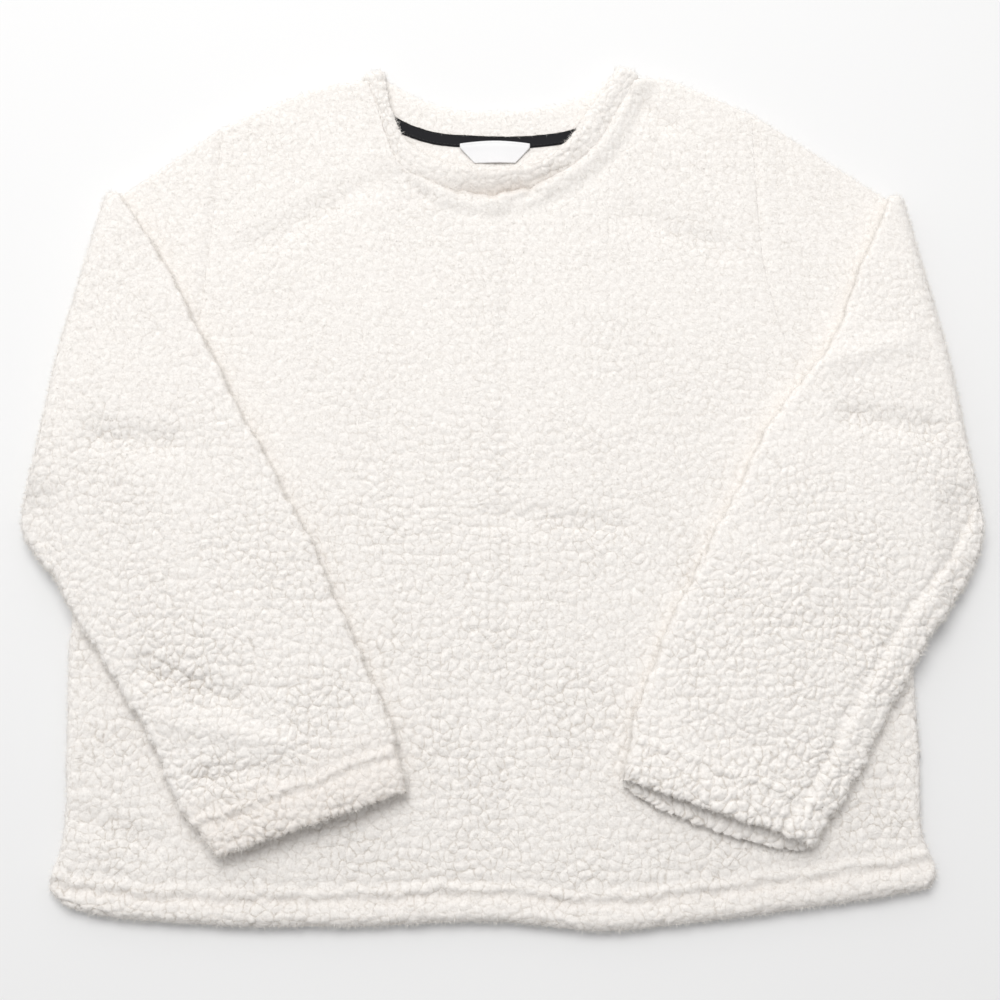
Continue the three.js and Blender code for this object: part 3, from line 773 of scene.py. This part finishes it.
def band_fold(seam, edge, side):
    """Rings that turn over at a shoulder tip."""
    out = (edge - seam) / np.linalg.norm(edge - seam)
    away = np.array([-out[1], out[0]]) * side
    return [band_ring(seam, edge, turn, away) for turn in np.linspace(0, np.pi, BAND_TIP_RINGS)[1:-1]]


# %% Neckband
FRONT_STANDS, BACK_STANDS = 1.5, 0.6   # the pile stands on the front half, and lies flatter behind
tips = [(NECK_SEAM[i], np.array(FRONT_EDGE[i], float)) for i in (0, -1)]
front_half = band_half(NECK_SEAM, FRONT_EDGE, BAND_FRONT_RINGS, 0)
back_half = band_half(BACK_SEAM, BACK_EDGE, BAND_BACK_RINGS, math.pi)[::-1]
rings = [back_half[-1], *band_fold(*tips[0], 1)[::-1]]
rings += [*front_half, *band_fold(*tips[1], -1), *back_half]
gone = run_along(np.array([r.mean(axis=0) for r in rings]))
girth = run_along(sunk_section * BAND_SIZE)
on_cloth = np.column_stack([np.repeat(gone, BAND_POINTS), np.tile(girth, len(rings))])
quads = sheet_quads(len(rings), BAND_POINTS)
front_rings, back_rings = len(rings) - len(back_half), len(back_half)
stands = np.repeat([FRONT_STANDS] * front_rings + [BACK_STANDS] * back_rings, BAND_POINTS)
points = np.vstack(rings)
# painted shade: brown along the neck seam under the chin, below the label, most at the seam
at_seam = np.tile(bump(sunk_section[:, 0], 0.3), len(rings))
painted_shade = (0.12 + 0.36 * at_seam) * under_chin(points[:, 0]) * (points[:, 1] < LABEL_TOP)
band = cloth_object(
    "neckband_cloth", points, quads[:, ::-1].tolist(), on_cloth + [0, APART], stands, painted_shade)
print("neckband:", len(band.data.polygons), "faces")


# %% [markdown]
# ## The pile
# Sherpa is a knit whose pile has curled into tight clumps, about 7 mm across, with deep
# narrow gaps between them. A clump is a cell, so a Voronoi texture gives the right pattern.
# Bump alone would leave the edges smooth, so a Geometry Nodes tree moves the points of the mesh.
# It stores how far the pile stands at each point, and the material reads it to paint shade into the gaps.

# %% Building nodes
def add_node(tree, kind, inputs=(), **settings):
    """A node with its settings, whose inputs are values or the sockets that feed them."""
    made = tree.nodes.new(kind)
    for key, value in settings.items():
        setattr(made, key, value)
    for key, value in dict(inputs).items():
        if isinstance(value, bpy.types.NodeSocket):
            tree.links.new(value, made.inputs[key])
        else:
            made.inputs[key].default_value = value
    return made


def maths(tree, operation, *values, clamp=False):
    """A sum of numbers, each a value or a socket."""
    made = add_node(tree, "ShaderNodeMath", enumerate(values), operation=operation, use_clamp=clamp)
    return made.outputs[0]


def vectors(tree, operation, *values):
    """A sum of vectors, each a value or a socket."""
    return add_node(tree, "ShaderNodeVectorMath", enumerate(values), operation=operation).outputs[0]


def remap(tree, value, low, high, to_low=0.0, to_high=1.0):
    """A value eased from one range to another."""
    names = ("Value", "From Min", "From Max", "To Min", "To Max")
    keys = dict(zip(names, (value, low, high, to_low, to_high)))
    return add_node(tree, "ShaderNodeMapRange", keys, interpolation_type="SMOOTHSTEP").outputs[0]


def named(tree, name, kind):
    """An attribute of the mesh, in a geometry tree."""
    return add_node(tree, "GeometryNodeInputNamedAttribute", {"Name": name}, data_type=kind).outputs[0]


# %% Building and running trees
def new_tree(name, kind, inputs, outputs):
    """A node group with its named sockets: each input has a type and, for a number, a usual value."""
    tree = bpy.data.node_groups.new(name, kind)
    for key, (socket, usual) in inputs.items():
        made = tree.interface.new_socket(key, in_out="INPUT", socket_type="NodeSocket" + socket)
        if usual is not None:
            made.default_value = usual
    for key, socket in outputs.items():
        tree.interface.new_socket(key, in_out="OUTPUT", socket_type="NodeSocket" + socket)
    return tree, add_node(tree, "NodeGroupInput")


def finish_tree(tree, made, given):
    """The end of a geometry tree: a real mesh, with its finish."""
    made = add_node(tree, "GeometryNodeRealizeInstances", {"Geometry": made}).outputs[0]
    made = add_node(tree, "GeometryNodeSetMaterial", {
        "Geometry": made, "Material": given.outputs["Finish"]}).outputs[0]
    add_node(tree, "NodeGroupOutput", {0: made})


def run_tree(piece, tree, **inputs):
    """Runs a geometry tree on a piece and keeps the result as its plain mesh."""
    modifier = piece.modifiers.new(tree.name, "NODES")
    modifier.node_group = tree
    sockets = {s.name: s.identifier for s in tree.interface.items_tree if s.in_out == "INPUT"}
    for key, value in inputs.items():
        modifier[sockets[key.replace("_", " ")]] = value
    dressed = piece.evaluated_get(bpy.context.evaluated_depsgraph_get())
    mesh = bpy.data.meshes.new_from_object(dressed)
    piece.modifiers.remove(modifier)
    piece.data = mesh
    mesh.name = piece.name


# %% Clumps, for the mesh and for the finish
CLUMP = 0.0070   # metres across
CURL = 0.0036
# Columns: waves per metre and how many metres a spot strays, from a wide drift to ragged edges.
CLUMP_STRAYS = [(45.0, 0.009), (180.0, 0.0028), (450.0, 0.0013)]


def strayed(tree, spot, scale, reach):
    """A spot moved about by smooth noise."""
    noise = add_node(tree, "ShaderNodeTexNoise", {"Vector": spot, "Scale": scale, "Detail": 1.0},
                     noise_dimensions="2D").outputs["Color"]
    noise = vectors(tree, "SUBTRACT", noise, (0.5, 0.5, 0.5))
    noise = add_node(tree, "ShaderNodeVectorMath", {0: noise, "Scale": reach}, operation="SCALE").outputs[0]
    return vectors(tree, "ADD", spot, noise)


def domes(tree, spot, size, groove):
    """Round heads packed side by side, each at its own height, with a thin groove between them."""
    cell = {"Vector": spot, "Scale": 1 / size, "Randomness": 0.8}
    head, edge = (
        add_node(tree, "ShaderNodeTexVoronoi", cell, voronoi_dimensions="2D", feature=feature).outputs
        for feature in ("F1", "DISTANCE_TO_EDGE"))
    round_top = maths(tree, "MULTIPLY", head["Distance"], head["Distance"])
    own = add_node(tree, "ShaderNodeSeparateXYZ", {0: head["Color"]}).outputs[0]
    height = maths(tree, "MULTIPLY_ADD", round_top, -1.1, maths(tree, "MULTIPLY_ADD", own, 0.2, 0.35))
    return height, remap(tree, edge["Distance"], 0.0, groove)


def clump_height(tree, spot, groove):
    """How high the pile stands at a spot on the cloth, and how clear of a gap the spot is."""
    ragged = spot
    for per_metre, reach in CLUMP_STRAYS:
        ragged = strayed(tree, ragged, per_metre, reach)
    clump, clear = domes(tree, ragged, CLUMP, groove)
    curl, curl_clear = domes(tree, ragged, CURL, groove)
    curl = maths(tree, "MULTIPLY_ADD", curl_clear, 0.25, maths(tree, "MULTIPLY", curl, 0.7))
    height = maths(tree, "MULTIPLY_ADD", clear, 0.42, maths(tree, "ADD", curl, clump))
    return height, clear


# %% The pile tree
MESH_GROOVE, FINE_GROOVE = 0.32, 0.17   # gaps are drawn wider in the mesh than in the finish
pile, given = new_tree(
    "sherpa pile", "GeometryNodeTree",
    {"Cloth": ("Geometry", None), "Gap depth": ("Float", 0.002), "Finish": ("Material", None)},
    {"Cloth": "Geometry"})
spot = named(pile, "cloth", "FLOAT_VECTOR")
tuft, _ = clump_height(pile, spot, MESH_GROOVE)
lie = add_node(pile, "ShaderNodeTexNoise", {"Vector": spot, "Scale": 16.0, "Detail": 2.0},
               noise_dimensions="2D").outputs[0]
stands = maths(pile, "MULTIPLY", named(pile, "stands", "FLOAT"), remap(pile, lie, 0.36, 0.64, 0.65, 1.12))
depth = maths(pile, "MULTIPLY", given.outputs["Gap depth"], stands)
sink = maths(pile, "MULTIPLY", maths(pile, "SUBTRACT", tuft, 0.75), depth)
normal = add_node(pile, "GeometryNodeInputNormal").outputs[0]
move = add_node(pile, "ShaderNodeVectorMath", {0: normal, "Scale": sink}, operation="SCALE").outputs[0]

cloth = add_node(pile, "GeometryNodeSetPosition", {
    "Geometry": given.outputs["Cloth"], "Offset": move}).outputs[0]
cloth = add_node(pile, "GeometryNodeStoreNamedAttribute", {
    "Geometry": cloth, "Name": "stands", "Value": stands}, data_type="FLOAT", domain="POINT").outputs[0]
finish_tree(pile, cloth, given)
print("pile tree:", len(pile.nodes), "nodes")

# %% [markdown]
# ## Finishes
# The sherpa is off-white. Painted light makes the tips of the curls lightest, and painted
# shade makes the gaps warmer and darker; brown painted shade lies in the neck seam, along the hem
# and on the left cuff. A little sheen makes it look soft. The fine fibres are too small for the
# mesh, so they are a bump from a shared group of nodes.

# %% Fine fibres, a shared group
fibres, given = new_tree(
    "fine fibres", "ShaderNodeTree",
    {"Fibres per metre": ("Float", 700.0), "Twist": ("Float", 1.0)}, {"Height": "Float"})
place = add_node(fibres, "ShaderNodeTexCoord").outputs["Object"]
curly = add_node(fibres, "ShaderNodeTexNoise", {
    "Vector": place, "Scale": given.outputs["Fibres per metre"], "Detail": 3.0, "Roughness": 0.6,
    "Distortion": given.outputs["Twist"]}).outputs[0]
add_node(fibres, "NodeGroupOutput", {"Height": curly})
print("fine fibres:", len(fibres.nodes), "nodes")


# %% Making a finish
def new_finish(name, roughness, **sockets):
    """A material, its tree and its shader, with constants on the shader's own sockets."""
    finish = bpy.data.materials.new(name)
    finish.use_nodes = True
    shader = finish.node_tree.nodes["Principled BSDF"]
    shader.inputs["Roughness"].default_value = roughness
    for key, value in sockets.items():
        shader.inputs[key.replace("_", " ")].default_value = value
    return finish, finish.node_tree, shader


def blend_colours(tree, share, low, high):
    """A colour between two, by a share that changes over the surface."""
    keys = {"Factor": share, "A": low, "B": high}
    made = tree.nodes.new("ShaderNodeMix")
    made.data_type = "RGBA"
    for key, value in keys.items():
        kind = "VALUE" if key == "Factor" else "RGBA"
        socket = next(s for s in made.inputs if s.name == key and s.type == kind)
        if isinstance(value, bpy.types.NodeSocket):
            tree.links.new(value, socket)
        else:
            socket.default_value = value
    return next(s for s in made.outputs if s.type == "RGBA")


def raise_surface(tree, shader, height, strength, distance):
    """Bump from a height that changes over the surface."""
    keys = {"Strength": strength, "Distance": distance, "Height": height}
    tree.links.new(add_node(tree, "ShaderNodeBump", keys).outputs[0], shader.inputs["Normal"])


# %% Sherpa
PAINTED_LOW_SHADE = (0.825, 0.79, 0.757, 1)
PAINTED_TIP_LIGHT = (0.92, 0.89, 0.858, 1)
PAINTED_GAP_SHADE = (0.66, 0.615, 0.565, 1)
PAINTED_SHADE_BROWN = (0.56, 0.47, 0.40, 1)
sherpa, tree, shader = new_finish(
    "cream_sherpa", 0.95, Sheen_Weight=0.2, Sheen_Roughness=0.6, Specular_IOR_Level=0.1)
spot = add_node(tree, "ShaderNodeAttribute", attribute_name="cloth").outputs["Vector"]
height, clear = clump_height(tree, spot, FINE_GROOVE)
stands = add_node(tree, "ShaderNodeAttribute", attribute_name="stands").outputs["Fac"]
fine = add_node(tree, "ShaderNodeGroup", node_tree=fibres)
fine.inputs["Fibres per metre"].default_value = 420.0
fuzz = remap(tree, fine.outputs["Height"], 0.34, 0.66)
patch = add_node(tree, "ShaderNodeTexNoise", {"Vector": spot, "Scale": 190.0, "Detail": 2.0},
                 noise_dimensions="2D").outputs[0]
# painted shade: darkens the gaps between clumps, more where the pile stands open
gap = maths(tree, "SUBTRACT", 1.0, maths(tree, "MULTIPLY_ADD", fuzz, 0.3, clear), clamp=True)
gap = maths(tree, "MULTIPLY", gap, stands)
gap = maths(tree, "MULTIPLY", gap, remap(tree, patch, 0.38, 0.62, 0.3, 1.0))
# painted light and shade: lighter where the fine fibres' bump is high, darker where it is low
cream = blend_colours(tree, fuzz, PAINTED_LOW_SHADE, PAINTED_TIP_LIGHT)
cream = blend_colours(tree, gap, cream, PAINTED_GAP_SHADE)
# brown painted shade, read from the mesh
painted_shade = add_node(tree, "ShaderNodeAttribute", attribute_name="painted_shade").outputs["Fac"]
cream = blend_colours(tree, painted_shade, cream, PAINTED_SHADE_BROWN)
tree.links.new(cream, shader.inputs["Base Color"])
curled = maths(tree, "MULTIPLY", height, maths(tree, "MULTIPLY_ADD", stands, 0.8, 0.2))
relief = maths(tree, "MULTIPLY_ADD", fuzz, 0.5, curled)
raise_surface(tree, shader, relief, 0.29, 0.0011)
print("sherpa:", len(tree.nodes), "nodes")

# %% Grow the pile
GAP_DEPTH = 0.00135   # metres
OWN_GAP_DEPTH = {back: 0.0010, band: 0.0015}
CLOTHS = [front, back, cap_left, cap_right, arm_left, arm_right, band]
for piece in CLOTHS:
    run_tree(piece, pile, Gap_depth=OWN_GAP_DEPTH.get(piece, GAP_DEPTH), Finish=sherpa)
print("triangles:", {p.name: sum(len(f.vertices) - 2 for f in p.data.polygons) for p in CLOTHS})

# %% [markdown]
# ## Loose fibres
# Single fibres stand out of the pile, and blur every edge that is seen against the light. They
# are thin bent blades scattered by Geometry Nodes, with a fixed seed: few on the open cloth, many
# where it turns down at an edge.

# %% The loose fibre tree
loose, given = new_tree(
    "loose fibres", "GeometryNodeTree",
    {"Cloth": ("Geometry", None), "Fibres per square metre": ("Float", 1200000.0),
     "Length": ("Float", 0.0045), "Width": ("Float", 0.00035), "Seed": ("Int", 3),
     "Finish": ("Material", None)},
    {"Fibres": "Geometry"})
blade = add_node(loose, "GeometryNodeMeshGrid", {
    "Size X": given.outputs["Width"], "Size Y": 1.0, "Vertices X": 2, "Vertices Y": 3}).outputs[0]
place = add_node(loose, "GeometryNodeInputPosition").outputs[0]
x, y = add_node(loose, "ShaderNodeSeparateXYZ", {0: place}).outputs[:2]
up = maths(loose, "ADD", y, 0.5)
lean = maths(loose, "MULTIPLY", maths(loose, "MULTIPLY", up, up), 0.7)
rise = maths(loose, "MULTIPLY", up, maths(loose, "MULTIPLY_ADD", up, -0.35, 1.0))
bent = add_node(loose, "ShaderNodeCombineXYZ", {
    0: maths(loose, "MULTIPLY", x, maths(loose, "MULTIPLY_ADD", up, -0.8, 1.0)),
    1: maths(loose, "MULTIPLY", lean, given.outputs["Length"]),
    2: maths(loose, "MULTIPLY", rise, given.outputs["Length"])}).outputs[0]
blade = add_node(loose, "GeometryNodeSetPosition", {"Geometry": blade, "Position": bent}).outputs[0]
normal = add_node(loose, "GeometryNodeInputNormal").outputs[0]
facing = add_node(loose, "ShaderNodeSeparateXYZ", {0: normal}).outputs[2]
steep = remap(loose, facing, 0.65, 0.25, 0.09, 1.0)
density = maths(loose, "MULTIPLY", steep, given.outputs["Fibres per square metre"])
density = maths(loose, "MULTIPLY", density, remap(loose, facing, -0.35, -0.1))
roots = add_node(loose, "GeometryNodeDistributePointsOnFaces", {
    "Mesh": given.outputs["Cloth"], "Density": density, "Seed": given.outputs["Seed"]}).outputs
sway = add_node(loose, "FunctionNodeRandomValue", {
    0: (-0.7, -0.7, -3.1), 1: (0.7, 0.7, 3.1), "Seed": given.outputs["Seed"]},
    data_type="FLOAT_VECTOR").outputs[0]
turned = add_node(loose, "FunctionNodeRotateRotation", {
    "Rotation": roots["Rotation"], "Rotate By": sway}, rotation_space="LOCAL").outputs[0]
size = add_node(loose, "FunctionNodeRandomValue", {
    2: 0.4, 3: 1.0, "Seed": given.outputs["Seed"]}, data_type="FLOAT").outputs[1]
grown = add_node(loose, "GeometryNodeInstanceOnPoints", {
    "Points": roots["Points"], "Instance": blade, "Rotation": turned, "Scale": size}).outputs[0]
finish_tree(loose, grown, given)
print("loose fibre tree:", len(loose.nodes), "nodes")

# %% Let the fibres stand out
fibre_finish, tree, shader = new_finish("cream_fibre", 0.9, Sheen_Weight=0.2)
fine = add_node(tree, "ShaderNodeGroup", node_tree=fibres)
fibre_colour = blend_colours(tree, fine.outputs["Height"], (0.84, 0.81, 0.77, 1), (0.92, 0.895, 0.86, 1))
tree.links.new(fibre_colour, shader.inputs["Base Color"])
BLADE_POINTS = 6
FIBRE_SEED = 3


def blade_map(mesh):
    """A UV map with a small square for each fibre."""
    mesh.attributes.remove(mesh.attributes["OFBake"])
    corners = np.empty(len(mesh.loops), dtype=np.int32)
    mesh.loops.foreach_get("vertex_index", corners)
    blade, point = np.divmod(corners, BLADE_POINTS)
    squares = math.ceil(math.sqrt(len(mesh.vertices) / BLADE_POINTS))
    square = np.column_stack([blade % squares, blade // squares])
    inside = np.column_stack([point // 3, point % 3 / 2])
    spots = (square + 0.1 + 0.8 * inside) / squares
    mesh.uv_layers.new(name="OFBake").uv.foreach_set("vector", spots.ravel())


def loose_fibres(cloth, seed):
    """The loose fibres of a piece of cloth, as a piece of their own."""
    made = bpy.data.objects.new(cloth.name + "_fibres", cloth.data)
    scene.collection.objects.link(made)
    run_tree(made, loose, Seed=seed, Finish=fibre_finish)
    blade_map(made.data)
    return made


FIBRES = {p: loose_fibres(p, FIBRE_SEED + i) for i, p in enumerate(CLOTHS) if p != back}
print("fibres:", {f.name: len(f.data.polygons) for f in FIBRES.values()})

# %% [markdown]
# ## Neck tape and label
# A black woven tape covers the seam inside the back neck, sewn down along both edges, and a
# blank white woven label with cut corners is caught on it. Both are thin strips, so each is a
# row of sections joined into a closed shell. Their coordinates run along and across the strip,
# and the weave follows them.

# %% Strips
def strip_object(name, sections, weave):
    """A closed strip through sections of the same number of points."""
    around = len(sections[0])
    faces = sheet_quads(len(sections), around, around=True).tolist()
    points = np.vstack(sections)
    last = len(points) - around
    faces += [list(range(around))[::-1], list(range(last, len(points)))]
    return cloth_object(name, points, faces, np.vstack(weave), np.zeros(len(points)))


# %% Neck tape
TAPE_WIDE, TAPE_THICK = 10.0, 1.0
TAPE_SHARES = (2 / 14, 11 / 14)   # its ends, along the back neck seam
tape_line = along(smooth_curve(BACK_SEAM), np.linspace(*TAPE_SHARES, 170))
heading = np.gradient(tape_line, axis=0)
heading /= np.linalg.norm(heading, axis=1)[:, None]
down = np.column_stack([heading[:, 1], -heading[:, 0]])
across = np.linspace(0, TAPE_WIDE, 15)
crown = LAYER + 0.1 + TAPE_THICK * (0.2 + 0.8 * roll(np.minimum(across, TAPE_WIDE - across), 2.0))
tape_sections, tape_weave = [], []
for i, (spot, aside) in enumerate(zip(tape_line, down)):
    ripple = 0.12 * math.sin(i * 0.33)
    upper = np.column_stack([spot + aside * (0.6 + across)[:, None], crown + ripple])
    lower = np.column_stack([upper[::-1, :2], np.full(len(across), LAYER)])
    tape_sections.append(np.vstack([upper, lower]))
    there_and_back = np.concatenate([across, across[::-1]])
    tape_weave.append(np.column_stack([np.full(len(there_and_back), i * 1.0), there_and_back]))
tape = strip_object("neck_tape_cloth", tape_sections, tape_weave)
print("tape:", round(length(tape_line)), "mm long")

# %% Label
LABEL_MIDDLE = -4.0
LABEL_LONG, LABEL_HALF = 16, 27.5
# Columns: distance down from the top edge, half width, height of its underside.
LABEL_ROWS = np.array([
    (0, LABEL_HALF, 6.7), (3.5, LABEL_HALF, 6.8), (7, 24.5, 6.3), (LABEL_LONG, 16, 5.6)])
label_sections, label_weave = [], []
for down_by in np.linspace(0, LABEL_LONG, 25):
    half, under = (np.interp(down_by, LABEL_ROWS[:, 0], LABEL_ROWS[:, i]) for i in (1, 2))
    x = np.linspace(-half, half, 41)
    lift = 2.2 * (1 - (x / LABEL_HALF) ** 2) * (1 - down_by / LABEL_LONG) ** 2
    wave = 0.35 * np.sin(x * 0.16 + 1) * down_by / LABEL_LONG + 0.5 * bump(x, 14)
    top = np.column_stack([LABEL_MIDDLE + x, LABEL_TOP - down_by + lift, under + 0.6 + wave])
    low = top[::-1] - [0, 0, 0.5]
    label_sections.append(np.vstack([top, low]))
    label_weave.append(np.column_stack([np.concatenate([x, x[::-1]]), np.full(2 * len(x), down_by)]))
label = strip_object("blank_label", label_sections, label_weave)
print("label:", len(label.data.polygons), "faces")

# %% [markdown]
# ## Stitches
# A sewn line is one small stitch, repeated at an even pitch along a path, so a Geometry
# Nodes tree makes it: the path is cut to the pitch and a rounded stitch is laid on each point.

# %% The sewn line tree
sewn, given = new_tree(
    "sewn line", "GeometryNodeTree",
    {"Path": ("Geometry", None), "Pitch": ("Float", 0.0028), "Stitch": ("Float", 0.0011),
     "Thread": ("Float", 0.00022), "Finish": ("Material", None)},
    {"Stitches": "Geometry"})
path = add_node(sewn, "GeometryNodeMeshToCurve", {0: given.outputs["Path"]}).outputs[0]
path = add_node(sewn, "GeometryNodeResampleCurve", {
    "Curve": path, "Length": given.outputs["Pitch"]}, mode="LENGTH")
ball = add_node(sewn, "GeometryNodeMeshUVSphere", {"Segments": 8, "Rings": 6, "Radius": 1.0}).outputs[0]
size = add_node(sewn, "ShaderNodeCombineXYZ", {
    0: given.outputs["Stitch"], 1: given.outputs["Thread"], 2: given.outputs["Thread"]}).outputs[0]
stitch = add_node(sewn, "GeometryNodeTransform", {"Geometry": ball, "Scale": size}).outputs[0]
tangent = add_node(sewn, "GeometryNodeInputTangent").outputs[0]
turn = add_node(sewn, "FunctionNodeAlignRotationToVector", {"Vector": tangent}, axis="X").outputs[0]
laid = add_node(sewn, "GeometryNodeInstanceOnPoints", {
    "Points": path.outputs[0], "Instance": stitch, "Rotation": turn}).outputs[0]
laid = add_node(sewn, "GeometryNodeRealizeInstances", {"Geometry": laid}).outputs[0]
laid = add_node(sewn, "GeometryNodeSetShadeSmooth", {"Geometry": laid}).outputs[0]
finish_tree(sewn, laid, given)
print("sewn line tree:", len(sewn.nodes), "nodes")

# %% Tape, label and thread finishes
weave, given = new_tree(
    "woven threads", "ShaderNodeTree",
    {"Along per metre": ("Float", 1000.0), "Across per metre": ("Float", 1000.0)}, {"Height": "Float"})
spot = add_node(weave, "ShaderNodeAttribute", attribute_name="cloth").outputs["Vector"]
x, y = add_node(weave, "ShaderNodeSeparateXYZ", {0: spot}).outputs[:2]
x = maths(weave, "MULTIPLY", x, given.outputs["Along per metre"])
y = maths(weave, "MULTIPLY", y, given.outputs["Across per metre"])
rib = maths(weave, "ADD", x, y)
thread = maths(weave, "SUBTRACT", x, maths(weave, "MULTIPLY", y, 2.0))
rib, thread = (maths(weave, "SINE", maths(weave, "MULTIPLY", run, 2 * math.pi)) for run in (rib, thread))
woven = maths(weave, "ADD", rib, maths(weave, "MULTIPLY", thread, 0.5))
woven = maths(weave, "MULTIPLY_ADD", woven, 0.33, 0.5)
add_node(weave, "NodeGroupOutput", {"Height": woven})


def woven_finish(name, low, high, along_per_metre, across_per_metre, roughness, **sockets):
    """A finish of threads, with painted shade darkening the valleys of the weave and painted light on its
    tops.
    """
    finish, tree, shader = new_finish(name, roughness, **sockets)
    threads = add_node(tree, "ShaderNodeGroup", node_tree=weave)
    threads.inputs["Along per metre"].default_value = along_per_metre
    threads.inputs["Across per metre"].default_value = across_per_metre
    height = threads.outputs["Height"]
    tree.links.new(blend_colours(tree, height, low, high), shader.inputs["Base Color"])
    raise_surface(tree, shader, height, 0.4, 0.0003)
    return finish


black_twill = woven_finish(
    "black_twill", (0.008, 0.008, 0.010, 1), (0.024, 0.023, 0.026, 1), 700.0, 700.0, 0.9,
    Specular_IOR_Level=0.2)
white_satin = woven_finish(
    "white_satin", (0.84, 0.835, 0.845, 1), (0.92, 0.915, 0.92, 1), 900.0, 2200.0, 0.55)
black_thread = woven_finish(
    "black_thread", (0.012, 0.012, 0.013, 1), (0.04, 0.04, 0.042, 1), 3000.0, 3000.0, 0.6)
white_thread = woven_finish(
    "white_thread", (0.82, 0.82, 0.83, 1), (0.93, 0.93, 0.93, 1), 3000.0, 3000.0, 0.6)
tape.data.materials.append(black_twill)
label.data.materials.append(white_satin)


# %% Sew the tape and the label
STITCH_SHARE = 0.4   # half a stitch's length, as a share of the pitch
THREAD = 0.00022     # half the thread's width, metres
TAPE_PITCH, LABEL_PITCH = 0.0028, 0.0022


def sewn_line(name, paths, finish, pitch):
    """Stitches along paths of plan points, as one plain mesh."""
    points, edges = [], []
    for line in paths:
        edges += [(len(points) + i, len(points) + i + 1) for i in range(len(line) - 1)]
        points += ((line + LAY) * MM).tolist()
    mesh = bpy.data.meshes.new(name)
    mesh.from_pydata(points, edges, [])
    made = bpy.data.objects.new(name, mesh)
    scene.collection.objects.link(made)
    run_tree(made, sewn, Pitch=pitch, Stitch=STITCH_SHARE * pitch, Thread=THREAD, Finish=finish)
    print(name, len(made.data.polygons), "faces")
    return made


tape_rows = [np.array([s[i] + [0, 0, 0.15] for s in tape_sections[2:-2]]) for i in (2, 12)]
tape_stitches = sewn_line("tape_stitches", tape_rows, black_thread, TAPE_PITCH)
label_row = np.array([p + [0, -1.4, 0.1] for p in label_sections[0][2:39]])
label_stitches = sewn_line("label_stitches", [label_row], white_thread, LABEL_PITCH)

# %% [markdown]
# ## The table
# The table is only a stage for the picture: one large pale face just under the cloth, with a
# faint mottle so that it isn't dead flat. The frame is told that it isn't part of the object.

# %% Table
TABLE_HALF, TABLE_Z = 4, -0.0006
corners = [(x * TABLE_HALF, y * TABLE_HALF, TABLE_Z) for x, y in ((-1, -1), (1, -1), (1, 1), (-1, 1))]
floor_mesh = bpy.data.meshes.new("table")
floor_mesh.from_pydata(corners, [], [(0, 1, 2, 3)])
floor = bpy.data.objects.new("table", floor_mesh)
scene.collection.objects.link(floor)
paper, tree, shader = new_finish("pale_table", 0.9)
place = add_node(tree, "ShaderNodeTexCoord").outputs["Object"]
mottle = add_node(tree, "ShaderNodeTexNoise", {"Vector": place, "Scale": 3.0}).outputs[0]
pale = blend_colours(tree, mottle, (0.835, 0.835, 0.837, 1), (0.845, 0.845, 0.847, 1))
tree.links.new(pale, shader.inputs["Base Color"])
floor_mesh.materials.append(paper)
floor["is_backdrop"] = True
print("table:", 2 * TABLE_HALF, "m wide")

# %% [markdown]
# ## Hand the pieces to the frame
# Every piece rides on the one body and stands for its solid.

# %% Frame calls
STANDS_FOR = {
    "front": [front], "back": [back], "sleeve_left": [cap_left, arm_left],
    "sleeve_right": [cap_right, arm_right], "neckband": [band], "neck_tape": [tape], "label": [label]}
for node, pieces in STANDS_FOR.items():
    for piece in pieces:
        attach(piece, "root")
        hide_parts(node)
TRIMS = [(tape_stitches, "tape"), (label_stitches, "label"), *((f, "sherpa") for f in FIBRES.values())]
for trim, slot in TRIMS:
    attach(trim, "root")

low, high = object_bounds()
print("visual box", [round(v * 1000, 1) for v in (*low, *high)])
